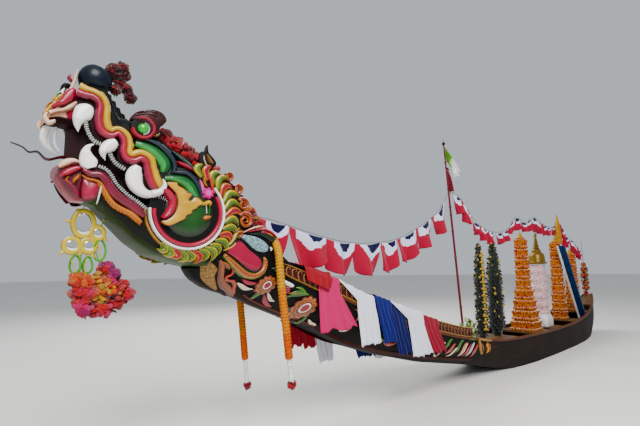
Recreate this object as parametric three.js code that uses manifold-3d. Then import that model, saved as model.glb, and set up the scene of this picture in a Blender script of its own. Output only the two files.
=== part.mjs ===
// A dragon-headed ceremonial long boat, dressed for a procession, in millimetres.
// +X points to the bow, +Y to port and +Z up. The origin is on the centreline at the water's level.
import * as THREE from 'three';
import { mergeVertices } from 'three/addons/utils/BufferGeometryUtils.js';
import Module from 'manifold-3d';

const wasm = await Module();
wasm.setup();

// Driving sizes of the hull
const GAP = 0.3;
const SLIVER = 0.05;
const WALL = 50;
const FLOOR = 60;
const HOLD_AFT = -2150;
const HOLD_FORE = 3700;
const HULL_AFT = -3000;
const HULL_FORE = 7620;
const DECK_THICK = 25;
const RAIL_HIGH = 35;
const RAIL_PROUD = 15;
const RAIL_TOP = GAP + RAIL_HIGH;

// Hull stations: x, keel height, sheer height, half beam, boxiness from 0 round to 1 square
const HULL = [
  [-3000, 330, 960, 90, 1],
  [-2700, 160, 860, 180, 0.9],
  [-2300, 0, 760, 280, 0.7],
  [-1700, -190, 640, 390, 0.4],
  [-900, -320, 540, 470, 0.15],
  [0, -370, 480, 510, 0],
  [1200, -350, 465, 525, 0],
  [2200, -260, 480, 525, 0.05],
  [3000, -120, 500, 510, 0.2],
  [3600, 50, 530, 500, 0.35],
  [4300, 215, 620, 485, 0.5],
  [5000, 345, 740, 470, 0.65],
  [5700, 475, 905, 455, 0.8],
  [6400, 655, 1110, 435, 0.9],
  [7000, 865, 1290, 420, 1],
  [7620, 1141, 1540, 400, 1],
];

// Section shapes from keel to sheer: share of half beam, share of depth
const ROUND_SECTION = [[0, 0], [0.5, 0.03], [0.82, 0.15], [0.96, 0.38], [1, 0.7], [1, 1]];
const BOX_SECTION = [[0, 0], [0.55, 0], [0.85, 0.05], [1, 0.2], [1, 0.6], [1, 1]];

// Neck and head: the sides are planes, so a side's half width falls evenly towards the bow
const HEAD_AFT = 9000;
const HALF_AT_HEAD = 340;
const NECK_TAPER = 0.0435;
const HEAD_TAPER = 0.172;

// Neck stations: x, underside, top, height of the sloping shoulder
const NECK = [
  [HULL_FORE + GAP, 1141, 1725, 20],
  [8000, 1286, 1870, 60],
  [8300, 1405, 2110, 90],
  [8700, 1562, 2430, 110],
  [8900, 1632, 2603, 110],
  [9000, 1697, 2690, 110],
];

// Skull stations: x, roof of the mouth, top of the skull
const SKULL = [
  [HEAD_AFT + GAP, 2350.3, 2690],
  [9200, 2350.3, 2800],
  [9440, 2350.3, 2970],
  [9600, 2620, 3080],
  [9780, 2790, 3090],
  [9870, 2865, 3320],
  [9990, 2920, 3320],
  [10100, 2945, 3220],
  [10200, 2950, 3090],
  [10284, 2940, 2990],
];

// Lower jaw stations: x, underside, floor of the mouth
const JAW = [
  [HEAD_AFT + GAP, 1815, 2350],
  [9200, 1855, 2350],
  [9440, 1925, 2350],
  [9600, 2030, 2385],
  [9780, 2200, 2470],
  [9900, 2320, 2560],
  [9980, 2345, 2600],
];

// Chin stations: x, underside, top
const CHIN = [
  [9980.3, 2345, 2600],
  [10060, 2345, 2640],
  [10130, 2420, 2655],
  [10190, 2520, 2610],
];

// Mast: foot and top on the centreline, and its radius
const MAST_FOOT = { x: 3950, z: 0 };
const MAST_TOP = { x: 4370, z: 4020 };
const MAST_RADIUS = 22;

// Seats that cross the hold: name, centre x, width along the boat
const SEATS = [
  ['seat_1', 3050, 900],
  ['seat_2', 1400, 620],
  ['seat_3', 520, 460],
  ['seat_4', -650, 420],
  ['seat_5', -1700, 420],
];
const SEAT_THICK = 35;
const SEAT_DROP = 20;

// Hanging ornament under the jaw, straight over its own centre of mass
const PENDANT_PIVOT = { x: 9811, z: 2213.6 };
const PENDANT_EYE = 12;

// Materials
const paint = (color, roughness = 0.5, metalness = 0) =>
  new THREE.MeshStandardMaterial({ color, roughness, metalness });
const MATERIAL = {
  hull: paint(0x33251c, 0.6),
  wood: paint(0x8a5a34, 0.6),
  black: paint(0x17191a, 0.4),
  green: paint(0x1f5a26, 0.4),
  throat: paint(0x27401c, 0.5),
  crimson: paint(0xc01f38, 0.4),
  gold: paint(0xe6a928, 0.35),
  ivory: paint(0xe8e4da, 0.35),
  navy: paint(0x1d2430, 0.3),
  flowers: paint(0xb02018, 0.8),
  marigold: paint(0xf08a20, 0.9),
  pinkCloth: paint(0xe02a60, 0.9),
  whiteCloth: paint(0xe6e6ea, 0.9),
  blueCloth: paint(0x1c2fa8, 0.9),
  redCloth: paint(0xc8203a, 0.9),
  tier: paint(0xe08a3a, 0.6),
  leaves: paint(0x1c2b17, 0.9),
};

const boat = new THREE.Group();

function part(name, geometry, material, parent = boat) {
  const mesh = new THREE.Mesh(geometry, material);
  mesh.name = name;
  parent.add(mesh);
  return mesh;
}

// Value of every column of a table at x, straight between rows
function at(table, x) {
  const last = table.length - 1;
  let k = 0;
  while (k < last - 1 && table[k + 1][0] < x) k += 1;
  const share = (x - table[k][0]) / (table[k + 1][0] - table[k][0]);
  return table[k].map((value, i) => value + (table[k + 1][i] - value) * share);
}

// The x values of a table between two ends, the ends included
function stops(table, from, to) {
  const inner = table.map(row => row[0]).filter(x => x > from + 1 && x < to - 1);
  return [from, ...inner, to];
}

// Turns a mesh's faces outward when the volume they enclose comes out negative
function outward(geometry) {
  const p = geometry.attributes.position;
  const index = geometry.index.array;
  const [a, b, c] = [new THREE.Vector3(), new THREE.Vector3(), new THREE.Vector3()];
  let volume = 0;
  for (let i = 0; i < index.length; i += 3) {
    a.fromBufferAttribute(p, index[i]);
    b.fromBufferAttribute(p, index[i + 1]);
    c.fromBufferAttribute(p, index[i + 2]);
    volume += a.dot(b.cross(c));
  }
  if (volume < 0) {
    for (let i = 0; i < index.length; i += 3) [index[i + 1], index[i + 2]] = [index[i + 2], index[i + 1]];
  }
  return geometry;
}

function indexed(points, faces) {
  const geometry = new THREE.BufferGeometry();
  const flat = points.flatMap(p => [p.x, p.y, p.z]);
  geometry.setAttribute('position', new THREE.Float32BufferAttribute(flat, 3));
  geometry.setIndex(faces);
  return outward(geometry);
}

// Closed solid through convex rings that all have the same number of points
function loft(rings) {
  const n = rings[0].length;
  const faces = [];
  for (let k = 0; k + 1 < rings.length; k += 1) {
    for (let i = 0; i < n; i += 1) {
      const a = k * n + i;
      const b = k * n + ((i + 1) % n);
      faces.push(a, b, b + n, a, b + n, a + n);
    }
  }
  const end = (rings.length - 1) * n;
  for (let i = 1; i + 1 < n; i += 1) {
    faces.push(0, i + 1, i);
    faces.push(end, end + i, end + i + 1);
  }
  return indexed(rings.flat(), faces);
}

const point = (x, y, z) => new THREE.Vector3(x, y, z);

// Closed solid turned about an upright axis from a profile of radius and height
function turned(x, y, profile, sides) {
  const ring = ([radius, z]) => Array.from({ length: sides }, (_, i) => {
    const angle = (2 * Math.PI * i) / sides;
    return point(x + radius * Math.cos(angle), y + radius * Math.sin(angle), z);
  });
  return loft(profile.map(ring));
}

// A flat shape in the X-Z plane, between two distances along Y
function relief(outline, back, front) {
  const shape = new THREE.Shape(outline.map(([u, z]) => new THREE.Vector2(u, z)));
  const geometry = new THREE.ExtrudeGeometry(shape, { depth: front - back, bevelEnabled: false });
  geometry.rotateX(Math.PI / 2);
  geometry.translate(0, front, 0);
  return geometry;
}

// Points of an ellipse, or of an arc of it, as outline points
function arc(u, z, radiusU, radiusZ, from = 0, to = 360, count = 20) {
  const whole = Math.abs(to - from) === 360;
  return Array.from({ length: count }, (_, i) => {
    const angle = THREE.MathUtils.degToRad(from + ((to - from) * i) / (whole ? count : count - 1));
    return [u + radiusU * Math.cos(angle), z + radiusZ * Math.sin(angle)];
  });
}

// A smooth run of outline points through a few given ones
function smooth(points, count, closed = false) {
  const curve = new THREE.CatmullRomCurve3(points.map(([u, z]) => point(u, 0, z)), closed);
  return curve.getPoints(count).slice(0, closed ? count : count + 1).map(p => [p.x, p.z]);
}

// A raised band along a path in the X-Z plane: its two widths, its back and its rounded front
function band(path, upper, lower, back, front) {
  const side = back + (front - back) * 0.55;
  const rings = path.map(([u, z], i) => {
    const before = path[Math.max(i - 1, 0)];
    const after = path[Math.min(i + 1, path.length - 1)];
    const along = new THREE.Vector2(after[0] - before[0], after[1] - before[1]).normalize();
    const across = (offset, y) => point(u - along.y * offset, y, z + along.x * offset);
    return [
      across(-lower, back), across(upper, back), across(upper, side),
      across(upper * 0.5, front), across(-lower * 0.5, front), across(-lower, side),
    ];
  });
  return loft(rings);
}

// Solids for joining and cutting
function solid(geometry) {
  const bare = geometry.clone();
  bare.deleteAttribute('normal');
  bare.deleteAttribute('uv');
  const merged = mergeVertices(bare, 1e-3);
  return new wasm.Manifold(new wasm.Mesh({
    numProp: 3,
    vertProperties: new Float32Array(merged.attributes.position.array),
    triVerts: new Uint32Array(merged.index.array),
  }));
}

// Back to a mesh, without the slivers that a cut leaves
function geometryOf(body) {
  const mesh = body.simplify(SLIVER).getMesh();
  const geometry = new THREE.BufferGeometry();
  geometry.setAttribute('position', new THREE.Float32BufferAttribute(Array.from(mesh.vertProperties), 3));
  geometry.setIndex(Array.from(mesh.triVerts));
  return geometry;
}

const join = geometries => geometries.map(solid).reduce((sum, body) => sum.add(body));

const shifted = (geometry, x, y, z) => geometry.clone().translate(x, y, z);

// The same shape on the other side of the boat
function mirrored(geometry) {
  const copy = geometry.index ? geometry.clone() : mergeVertices(geometry.clone());
  const p = copy.attributes.position;
  for (let i = 0; i < p.count; i += 1) p.setY(i, -p.getY(i));
  const index = copy.index.array;
  for (let i = 0; i < index.length; i += 3) [index[i + 1], index[i + 2]] = [index[i + 2], index[i + 1]];
  return copy;
}

// Groups whose X-Z plane lies on a tapering side, with +Y outward to port
function sides(taper) {
  const port = new THREE.Group();
  const stbd = new THREE.Group();
  port.position.set(HEAD_AFT, HALF_AT_HEAD, 0);
  stbd.position.set(HEAD_AFT, -HALF_AT_HEAD, 0);
  port.rotation.z = -Math.atan(taper);
  stbd.rotation.z = Math.atan(taper);
  boat.add(port, stbd);
  return { port, stbd };
}

const HEAD_SIDE = sides(HEAD_TAPER);
const NECK_SIDE = sides(NECK_TAPER);
const WHOLE = { port: boat, stbd: boat };

function pair(name, geometry, material, side = WHOLE) {
  part(`${name}_port`, geometry, material, side.port);
  part(`${name}_stbd`, mirrored(geometry), material, side.stbd);
}

// Hull: a solid log with the hold cut out of it
function hullRing(x, inset = 0, lift = 0, raise = 0) {
  const [, keel, sheer, half, boxy] = at(HULL, x);
  const low = keel + lift;
  const high = sheer + raise;
  const share = ROUND_SECTION.map(([y, z], i) => [
    y + (BOX_SECTION[i][0] - y) * boxy,
    z + (BOX_SECTION[i][1] - z) * boxy,
  ]);
  const port = share.map(([y, z]) => point(x, (half - inset) * y, low + (high - low) * z));
  const stbd = port.slice(1).map(p => point(p.x, -p.y, p.z));
  return [...port.slice().reverse(), ...stbd];
}

function hull() {
  const outer = loft(stops(HULL, HULL_AFT, HULL_FORE).map(x => hullRing(x)));
  const inner = loft(stops(HULL, HOLD_AFT, HOLD_FORE).map(x => hullRing(x, WALL, FLOOR, 100)));
  part('hull', geometryOf(solid(outer).subtract(solid(inner))), MATERIAL.hull);
}

// A strip along the hull whose cross-section is a rectangle that follows the sheer
function along(from, to, corners) {
  const ring = x => {
    const [, , sheer, half] = at(HULL, x);
    const { inner, outer, low, high } = corners(half, sheer);
    return [point(x, inner, low), point(x, outer, low), point(x, outer, high), point(x, inner, high)];
  };
  return loft(stops(HULL, from, to).map(ring));
}

function rails() {
  pair('rail', along(HULL_AFT, HULL_FORE, (half, sheer) => ({
    inner: half - WALL, outer: half + RAIL_PROUD, low: sheer + GAP, high: sheer + RAIL_TOP,
  })), MATERIAL.wood);
}

const FRET_AFT = 4600;
const FRET_HIGH = 150;
const FRET_THICK = 18;

function fretwork() {
  pair('fretwork', along(FRET_AFT, HULL_FORE, (half, sheer) => ({
    inner: half - FRET_THICK, outer: half, low: sheer + RAIL_TOP + GAP, high: sheer + RAIL_TOP + GAP + FRET_HIGH,
  })), MATERIAL.wood);
}

function decks() {
  const deck = (from, to) => along(from, to, (half, sheer) => ({
    inner: -(half - WALL - GAP), outer: half - WALL - GAP, low: sheer + GAP, high: sheer + GAP + DECK_THICK,
  }));
  part('fore_deck', deck(HOLD_FORE, HULL_FORE), MATERIAL.wood);
  part('aft_deck', deck(HULL_AFT + 20, HOLD_AFT), MATERIAL.wood);
}

// Each seat ends GAP short of the hold's walls
function seats() {
  for (const [name, x, width] of SEATS) {
    const top = at(HULL, x)[2] - SEAT_DROP;
    const ring = stop => {
      const half = at(HULL, stop)[3] - WALL - GAP;
      return [
        point(stop, -half, top - SEAT_THICK), point(stop, half, top - SEAT_THICK),
        point(stop, half, top), point(stop, -half, top),
      ];
    };
    part(name, loft(stops(HULL, x - width / 2, x + width / 2).map(ring)), MATERIAL.wood);
  }
}

const seatTop = x => {
  const seat = SEATS.find(row => Math.abs(row[1] - x) <= row[2] / 2);
  return at(HULL, seat[1])[2] - SEAT_DROP + GAP;
};

// Half width of the neck's and head's flat sides at x
const neckHalf = x => HALF_AT_HEAD + NECK_TAPER * (HEAD_AFT - x);
const headHalf = x => HALF_AT_HEAD - HEAD_TAPER * (x - HEAD_AFT);

// Eight-cornered section with upright sides and sloping shoulders
function block(x, half, low, high, chine, shoulder) {
  const foot = Math.min(chine, (high - low) * 0.3);
  const slope = Math.min(shoulder, (high - low) * 0.3);
  const port = [[0.6, low], [1, low + foot], [1, high - slope], [0.62, high]];
  const ring = port.map(([share, z]) => point(x, half * share, z));
  return [...ring, ...ring.slice().reverse().map(p => point(p.x, -p.y, p.z))];
}

const neckShape = () => loft(NECK.map(([x, low, high, slope]) => block(x, neckHalf(x), low, high, 85, slope)));
const skullShape = () => loft(SKULL.map(([x, low, high]) => block(x, headHalf(x), low, high, 40, 80)));
const jawShape = () => loft(JAW.map(([x, low, high]) => block(x, headHalf(x), low, high, 40, 20)));
const chinShape = () => loft(CHIN.map(([x, low, high]) => block(x, headHalf(x) - 4, low, high, 60, 30)));

function head() {
  part('neck', neckShape(), MATERIAL.black);
  part('skull', skullShape(), MATERIAL.green);
  part('lower_jaw', jawShape(), MATERIAL.throat);
  part('chin_pouch', chinShape(), MATERIAL.crimson);
}

// Tongue: a dark root that fills the mouth's middle and a wavy blade
const TONGUE_ROOT = [9460, 9600, 9780, 9900, 9979, 10030];
const TONGUE_BLADE = [[9990, 2690], [10130, 2702], [10240, 2664], [10306, 2713], [10361, 2702], [10405, 2735],
  [10482, 2758]];

function tongue() {
  const root = loft(TONGUE_ROOT.map(x => {
    const low = at(x < JAW.at(-1)[0] ? JAW : CHIN, x)[2] + GAP;
    const high = at(SKULL, x)[1] - GAP;
    return block(x, headHalf(x) * 0.55, low, high, 5, 5);
  }));
  const path = smooth(TONGUE_BLADE, 18);
  const blade = loft(path.map(([x, z], i) => {
    const left = 1 - i / (path.length - 1);
    const half = 14 + 36 * left;
    const thick = 7 + 9 * left;
    return [point(x, -half, z - thick), point(x, half, z - thick), point(x, half, z + thick),
      point(x, -half, z + thick)];
  }));
  part('tongue', geometryOf(join([root, blade])), MATERIAL.black);
}

// Lips: bands that wave along the mouth, on a thin gum that also carries the teeth
const GUM_THICK = 12;
const LIP_PROUD = 62;
const LIP_GOLD = 44;
const LIP_RED = 44;
const UPPER_LIP = [[1237, 3060], [1165, 3135], [1100, 3200], [1030, 3222], [965, 3195], [928, 3130], [922, 3030],
  [905, 2950], [850, 2925], [790, 2930], [742, 2890], [722, 2810], [700, 2745], [650, 2728], [600, 2745],
  [550, 2715], [525, 2650], [512, 2590], [488, 2545]];
const LOWER_LIP = [[1045, 2543], [949, 2519], [878, 2480], [827, 2415], [767, 2346], [687, 2297], [592, 2252]];
const UPPER_GUM = [[1200, 3010], [1120, 3130], [1000, 3200], [945, 3150], [930, 3020], [900, 2930], [800, 2930],
  [730, 2880], [710, 2760], [560, 2740], [500, 2620], [455, 2500], [520, 2440], [600, 2500], [640, 2640],
  [740, 2620], [800, 2700], [800, 2790], [860, 2850], [930, 2800], [960, 2830], [1020, 2960], [1080, 2980],
  [1130, 3000]];
const LOWER_GUM = [[1050, 2600], [940, 2605], [870, 2560], [790, 2455], [710, 2400], [576, 2330], [580, 2235],
  [690, 2280], [770, 2325], [840, 2400], [890, 2470], [1050, 2520]];

// Teeth outlines on the side plane
const UPPER_FANGS = [
  [[985, 3124], [1041, 3138], [1102, 3110], [1133, 3038], [1123, 2963], [1087, 2887], [1071, 2908], [1056, 2970],
    [1030, 3011], [989, 3030], [965, 3081]],
  [[790, 2873], [827, 2880], [867, 2866], [918, 2816], [933, 2744], [908, 2701], [898, 2721], [883, 2762],
    [837, 2781], [780, 2779], [770, 2830]],
  [[580, 2646], [618, 2668], [667, 2654], [712, 2609], [722, 2547], [687, 2474], [628, 2420], [568, 2403],
    [500, 2416], [442, 2456], [414, 2516], [427, 2558], [451, 2517], [500, 2478], [559, 2475], [603, 2512],
    [603, 2564], [575, 2604]],
];
const LOWER_FANG = [[1071, 2707], [1041, 2759], [1000, 2794], [959, 2813], [949, 2786], [989, 2746], [969, 2703],
  [943, 2660], [943, 2590], [989, 2580], [1041, 2590], [1071, 2665]];
// Rows of small teeth: run from one point to another with a zigzag edge
const UPPER_ROWS = [[[1060, 2990], [965, 2818], 5], [[850, 2745], [735, 2625], 4]];
const LOWER_ROWS = [[[938, 2610], [863, 2556], 3], [[872, 2565], [786, 2450], 4], [[797, 2460], [590, 2335], 7]];
const SMALL_TOOTH = 34;

function toothRow([from, to, count], side) {
  const step = [(to[0] - from[0]) / count, (to[1] - from[1]) / count];
  const length = Math.hypot(...step);
  const out = [(-step[1] / length) * side, (step[0] / length) * side];
  const edge = [];
  for (let i = 0; i < count; i += 1) {
    const [u, z] = [from[0] + step[0] * i, from[1] + step[1] * i];
    edge.push([u, z]);
    edge.push([u + step[0] * 0.5 + out[0] * SMALL_TOOTH, z + step[1] * 0.5 + out[1] * SMALL_TOOTH]);
  }
  const back = 14;
  return [...edge, to, [to[0] - out[0] * back, to[1] - out[1] * back], [from[0] - out[0] * back, from[1] - out[1] * back]];
}

function mouth() {
  const upperPath = smooth(UPPER_LIP, 34);
  const lowerPath = smooth(LOWER_LIP, 16);
  const lipBack = GUM_THICK + GAP;
  pair('upper_lip', band(upperPath, LIP_RED, LIP_GOLD, lipBack, LIP_PROUD), MATERIAL.gold, HEAD_SIDE);
  pair('lower_lip', band(lowerPath, LIP_RED, LIP_GOLD, lipBack, LIP_PROUD), MATERIAL.crimson, HEAD_SIDE);
  const cutter = path => solid(band(path, LIP_RED + GAP, LIP_GOLD + GAP, GUM_THICK, LIP_PROUD * 2));
  const teeth = (gum, fangs, rows, side) => join([
    relief(gum, GAP, GUM_THICK),
    ...fangs.map(outline => relief(smooth(outline, outline.length * 2, true), GAP, 46)),
    ...rows.map(row => relief(toothRow(row, side), GAP, 28)),
  ]);
  const upper = teeth(UPPER_GUM, UPPER_FANGS, UPPER_ROWS, -1).subtract(cutter(upperPath));
  const lower = teeth(LOWER_GUM, [LOWER_FANG], LOWER_ROWS, 1).subtract(cutter(lowerPath));
  pair('upper_teeth', geometryOf(upper), MATERIAL.ivory, HEAD_SIDE);
  pair('lower_teeth', geometryOf(lower), MATERIAL.ivory, HEAD_SIDE);
}

// Jaw plate: a ringed dome behind the mouth with a flame on it
const PLATE = { u: 208, z: 2332, radius: 355 };
const PLATE_CORNER = [[430, 2215], [397, 2290], [388, 2360], [396, 2430], [390, 2560], [300, 2590], [120, 2600]];
const FLAME = [[374, 2535], [316, 2543], [259, 2511], [240, 2470], [192, 2458], [230, 2419], [183, 2417], [32, 2393],
  [117, 2355], [164, 2336], [202, 2296], [259, 2247], [316, 2187], [393, 2168], [425, 2199], [374, 2239],
  [345, 2310], [355, 2392], [380, 2475]];

function jawPlate() {
  const rim = arc(PLATE.u, PLATE.z, PLATE.radius, PLATE.radius, 130, 345, 26);
  const outline = [...rim, ...PLATE_CORNER];
  const dome = arc(PLATE.u, PLATE.z - 30, 250, 220, 150, 330, 14);
  const shape = join([
    relief(outline, GAP, 30),
    relief([...rim, ...arc(PLATE.u, PLATE.z, PLATE.radius - 60, PLATE.radius - 60, 345, 130, 26)], GAP, 52),
    relief(dome, GAP, 48),
    relief(FLAME, GAP, 66),
  ]);
  pair('jaw_plate', geometryOf(shape), MATERIAL.green, HEAD_SIDE);
}

// Eye: socket disc, ball and a brow that sweeps back
const EYE = { u: 608, z: 2977, socket: 100, ball: 48 };
const BROW = [[700, 3000], [690, 3090], [640, 3140], [568, 3152], [475, 3146], [436, 3100], [452, 3060], [500, 2981]];

function eyes() {
  const ball = new THREE.SphereGeometry(EYE.ball, 12, 8);
  ball.translate(EYE.u, EYE.ball + 4, EYE.z);
  const shape = join([
    relief(arc(EYE.u, EYE.z, EYE.socket, EYE.socket, 0, 360, 20), GAP, 45),
    relief(smooth(BROW, 16, true), GAP, 70),
    ball,
  ]);
  pair('eye', geometryOf(shape), MATERIAL.crimson, HEAD_SIDE);
}

// Ornaments on the ridge of the head
const BALL = { x: 9931, radius: 132, z: 3440 };

// The ball, its foot cut flat where it stands on the skull
function ballShape(grow = 0) {
  const radius = BALL.radius + grow;
  const start = Math.asin((SKULL[5][2] + GAP - BALL.z) / BALL.radius);
  const steps = 9;
  const profile = [];
  for (let i = 0; i < steps; i += 1) {
    const angle = start + ((Math.PI / 2 - start) * i) / steps;
    profile.push([radius * Math.cos(angle), BALL.z + radius * Math.sin(angle)]);
  }
  profile.push([4, BALL.z + radius]);
  return turned(BALL.x, 0, profile, 16);
}

function ridge() {
  part('nose_ball', ballShape(), MATERIAL.navy);
  const top = x => at(SKULL, x)[2] + GAP;
  const comb = [[9640, top(9640)], [9780, top(9780)], [9838, top(9838)], [9830, 3312], [9802, 3306], [9796, 3262],
    [9764, 3256], [9756, 3212], [9726, 3204], [9716, 3166], [9686, 3158], [9676, 3124], [9646, 3116]];
  part('comb', relief(comb, -22, 22), MATERIAL.black);
  const scroll = [[10060, top(10060)], [10100, top(10100)], [10200, top(10200)], [10284, top(10284)], [10318, 3010],
    [10312, 3070], [10270, 3090], [10262, 3150], [10215, 3170], [10190, 3240], [10140, 3255], [10110, 3310],
    [10076, 3312]];
  part('nose_scroll', relief(scroll, -30, 30), MATERIAL.gold);
}

// Mane board of flame leaves behind the jaw plate
const MANE = [[140, 2640], [112, 2730], [63, 2770], [20, 2730], [-40, 2760], [-60, 2690], [-150, 2700], [-130, 2620],
  [-230, 2620], [-205, 2530], [-320, 2520], [-290, 2440], [-430, 2410], [-360, 2330], [-480, 2260], [-360, 2190],
  [-230, 2125], [-150, 2045], [-60, 1985], [35, 1985], [120, 2300]];

function mane() {
  const hole = relief(arc(PLATE.u, PLATE.z, PLATE.radius + 17, PLATE.radius + 17, 0, 360, 40), -50, 200);
  const shape = solid(relief(MANE, GAP, 40)).subtract(solid(hole));
  pair('mane', geometryOf(shape), MATERIAL.gold, NECK_SIDE);
}

// Bare name plate with its petal border and the pale leaf above it
const NAME_BORDER = [[-133, 1960], [-201, 1840], [-298, 1750], [-415, 1700], [-520, 1722], [-560, 1800], [-585, 1890],
  [-612, 1960], [-618, 2019], [-541, 2085], [-396, 2112], [-318, 2120], [-240, 2045]];
const NAME_PLATE = [[-250, 2030], [-211, 1950], [-318, 1830], [-425, 1782], [-505, 1810], [-515, 1880], [-480, 1945]];

function namePlate() {
  const shape = join([relief(NAME_BORDER, GAP, 24), relief(NAME_PLATE, GAP, 38)]);
  pair('name_plate', geometryOf(shape), MATERIAL.crimson, NECK_SIDE);
}

// Carved board low on the neck: two rosettes joined by leaves
const ROSETTES = [[-636, 1640, 92], [-1090, 1385, 122]];
const LEAF_BOARD = [[-600, 1640], [-700, 1700], [-800, 1600], [-960, 1560], [-1080, 1460], [-1120, 1330], [-960, 1400],
  [-800, 1480], [-640, 1560]];

function bowCarving() {
  const petals = ([u, z, radius]) => {
    const outline = arc(u, z, 1, 1, 0, 360, 24).map(([a, b], i) => {
      const reach = radius * (i % 2 ? 0.84 : 1);
      return [u + (a - u) * reach, z + (b - z) * reach];
    });
    return relief(outline, GAP, 26);
  };
  const eye = ([u, z, radius]) => relief(arc(u, z, radius * 0.5, radius * 0.5, 0, 360, 14), GAP, 36);
  const shape = join([relief(LEAF_BOARD, GAP, 14), ...ROSETTES.map(petals), ...ROSETTES.map(eye)]);
  pair('bow_carving', geometryOf(shape), MATERIAL.marigold, NECK_SIDE);
}

// Flower bunches: x, y, z and radius of each rounded clump, cut to sit on what carries them
const BALL_FLOWERS = [[9790, 0, 3530, 75], [9720, 20, 3575, 62], [9730, -20, 3480, 75], [9680, 10, 3400, 55],
  [9770, 0, 3400, 60], [9690, 0, 3530, 60]];

function clumps(rows) {
  return join(rows.map(([x, y, z, radius]) => shifted(new THREE.IcosahedronGeometry(radius, 1), x, y, z)));
}

function flowers() {
  const skullTop = x => at(SKULL, x)[2];
  const neckTop = x => at(NECK, x)[2];
  const headRow = [9130, 9230, 9330, 9430].flatMap(x => [[x, 110, skullTop(x) + 10, 85], [x, -110, skullTop(x) + 10, 85],
    [x, 0, skullTop(x) + 20, 90]]);
  const neckRow = [8400, 8520, 8640, 8760, 8870].flatMap(x => [[x, 100, neckTop(x) + 60, 135],
    [x, -100, neckTop(x) + 60, 135], [x, 0, neckTop(x) + 190, 115]]);
  const cover = shape => solid(shifted(shape, 0, 0, GAP)).add(solid(shifted(shape, -GAP, 0, 0)));
  const under = cover(neckShape());
  const ahead = cover(skullShape());
  part('head_flowers', geometryOf(clumps(headRow).subtract(ahead)), MATERIAL.flowers);
  part('neck_flowers', geometryOf(clumps(neckRow).subtract(under).subtract(ahead)), MATERIAL.flowers);
  part('ball_flowers', geometryOf(clumps(BALL_FLOWERS).subtract(solid(ballShape(GAP)))), MATERIAL.flowers);
}

// Hanging ornament: mirrored lobes, an eye at the top and a bunch of flowers below
const LOBES = [[9957, 2178, 98, 125], [9850, 2106, 70, 72], [10032, 2000, 78, 78], [9912, 2000, 74, 76]];
const BUNCH = [[9975, 0, 1725, 58], [9905, 20, 1705, 60], [9955, -10, 1630, 68], [9885, 20, 1620, 68],
  [9930, 0, 1540, 66], [9925, 20, 1490, 52], [9850, -20, 1490, 62], [9770, 10, 1490, 70], [9792, 0, 1588, 80],
  [9815, 10, 1705, 76], [9767, 0, 1812, 58], [9735, -20, 1838, 40], [9700, 20, 1770, 55], [9710, -10, 1725, 78],
  [9708, 30, 1631, 84], [9635, 0, 1662, 54], [9608, 10, 1612, 68], [9660, -20, 1552, 70]];
// Flat strings: outlines of the hanger and of the ties down to the flowers
const STRINGS = [
  [[9803, 2216], [9819, 2216], [9845, 2165], [9827, 2155]],
  [[9840, 2050], [9880, 2050], [9805, 1830], [9765, 1830]],
  [[9915, 1960], [9975, 1960], [9950, 1600], [9905, 1600]],
];

function pendant() {
  const lobe = ([x, z, wide, high]) => relief(arc(x, z, wide, high, 0, 360, 20), -14, 14);
  const mirror = ([x, z, wide, high]) => relief(arc(x, z, wide - 25, high - 25, 0, 360, 16), -19, 19);
  const eye = relief(arc(PENDANT_PIVOT.x, PENDANT_PIVOT.z, PENDANT_EYE, PENDANT_EYE, 0, 360, 16), -6, 6);
  const strings = STRINGS.map(outline => relief(outline, -5, 5));
  const shape = join([...LOBES.map(lobe), ...LOBES.map(mirror), eye, ...strings]).add(clumps(BUNCH));
  part('pendant', geometryOf(shape), MATERIAL.gold);
}

// Garlands: one down each side of the neck, as points on the centre of the port one
const GARLAND_RADIUS = 42;
const GARLAND = [[8230, 60, 2112], [8230, 200, 2112], [8228, 325, 2083], [8218, 418, 1979], [8205, 448, 1800],
  [8185, 446, 1550], [8165, 446, 1250], [8148, 446, 950], [8130, 446, 640]];

function garlands() {
  const curve = new THREE.CatmullRomCurve3(GARLAND.map(p => point(...p)));
  const section = new THREE.Shape(arc(0, 0, GARLAND_RADIUS, GARLAND_RADIUS, 0, 360, 8).map(p => new THREE.Vector2(...p)));
  const tube = new THREE.ExtrudeGeometry(section, { steps: 18, bevelEnabled: false, extrudePath: curve });
  pair('garland', tube, MATERIAL.marigold);
}

// Cloths draped over the fretwork: name, aft edge and fore edge on the port side, drop of the port hem and of the
// starboard hem under the sheer, material
const CLOTHS = [
  ['cloth_pink', 7240, 7770, 360, 580, MATERIAL.pinkCloth],
  ['cloth_white_fore', 6830, 7200, 410, 660, MATERIAL.whiteCloth],
  ['cloth_blue', 6250, 6780, 385, 560, MATERIAL.blueCloth],
  ['cloth_white_aft', 5830, 6220, 370, 550, MATERIAL.whiteCloth],
  ['cloth_red', 5450, 5800, 350, 500, MATERIAL.redCloth],
];
const CLOTH_THICK = 10;
const CLOTH_LEAN = 400;
const CLOTH_CROWN = 45;

// What a cloth lies over at x: half breadth of the side, height of the top edge, height of the sheer
function drape(x) {
  if (x <= HULL_FORE) {
    const [, , sheer, half] = at(HULL, x);
    return { side: half + RAIL_PROUD + GAP, top: sheer + RAIL_TOP + GAP + FRET_HIGH + GAP, sheer };
  }
  const top = at(NECK, x)[2] + GAP;
  return { side: neckHalf(x) + RAIL_PROUD + GAP, top, sheer: top - RAIL_TOP - FRET_HIGH };
}

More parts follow.
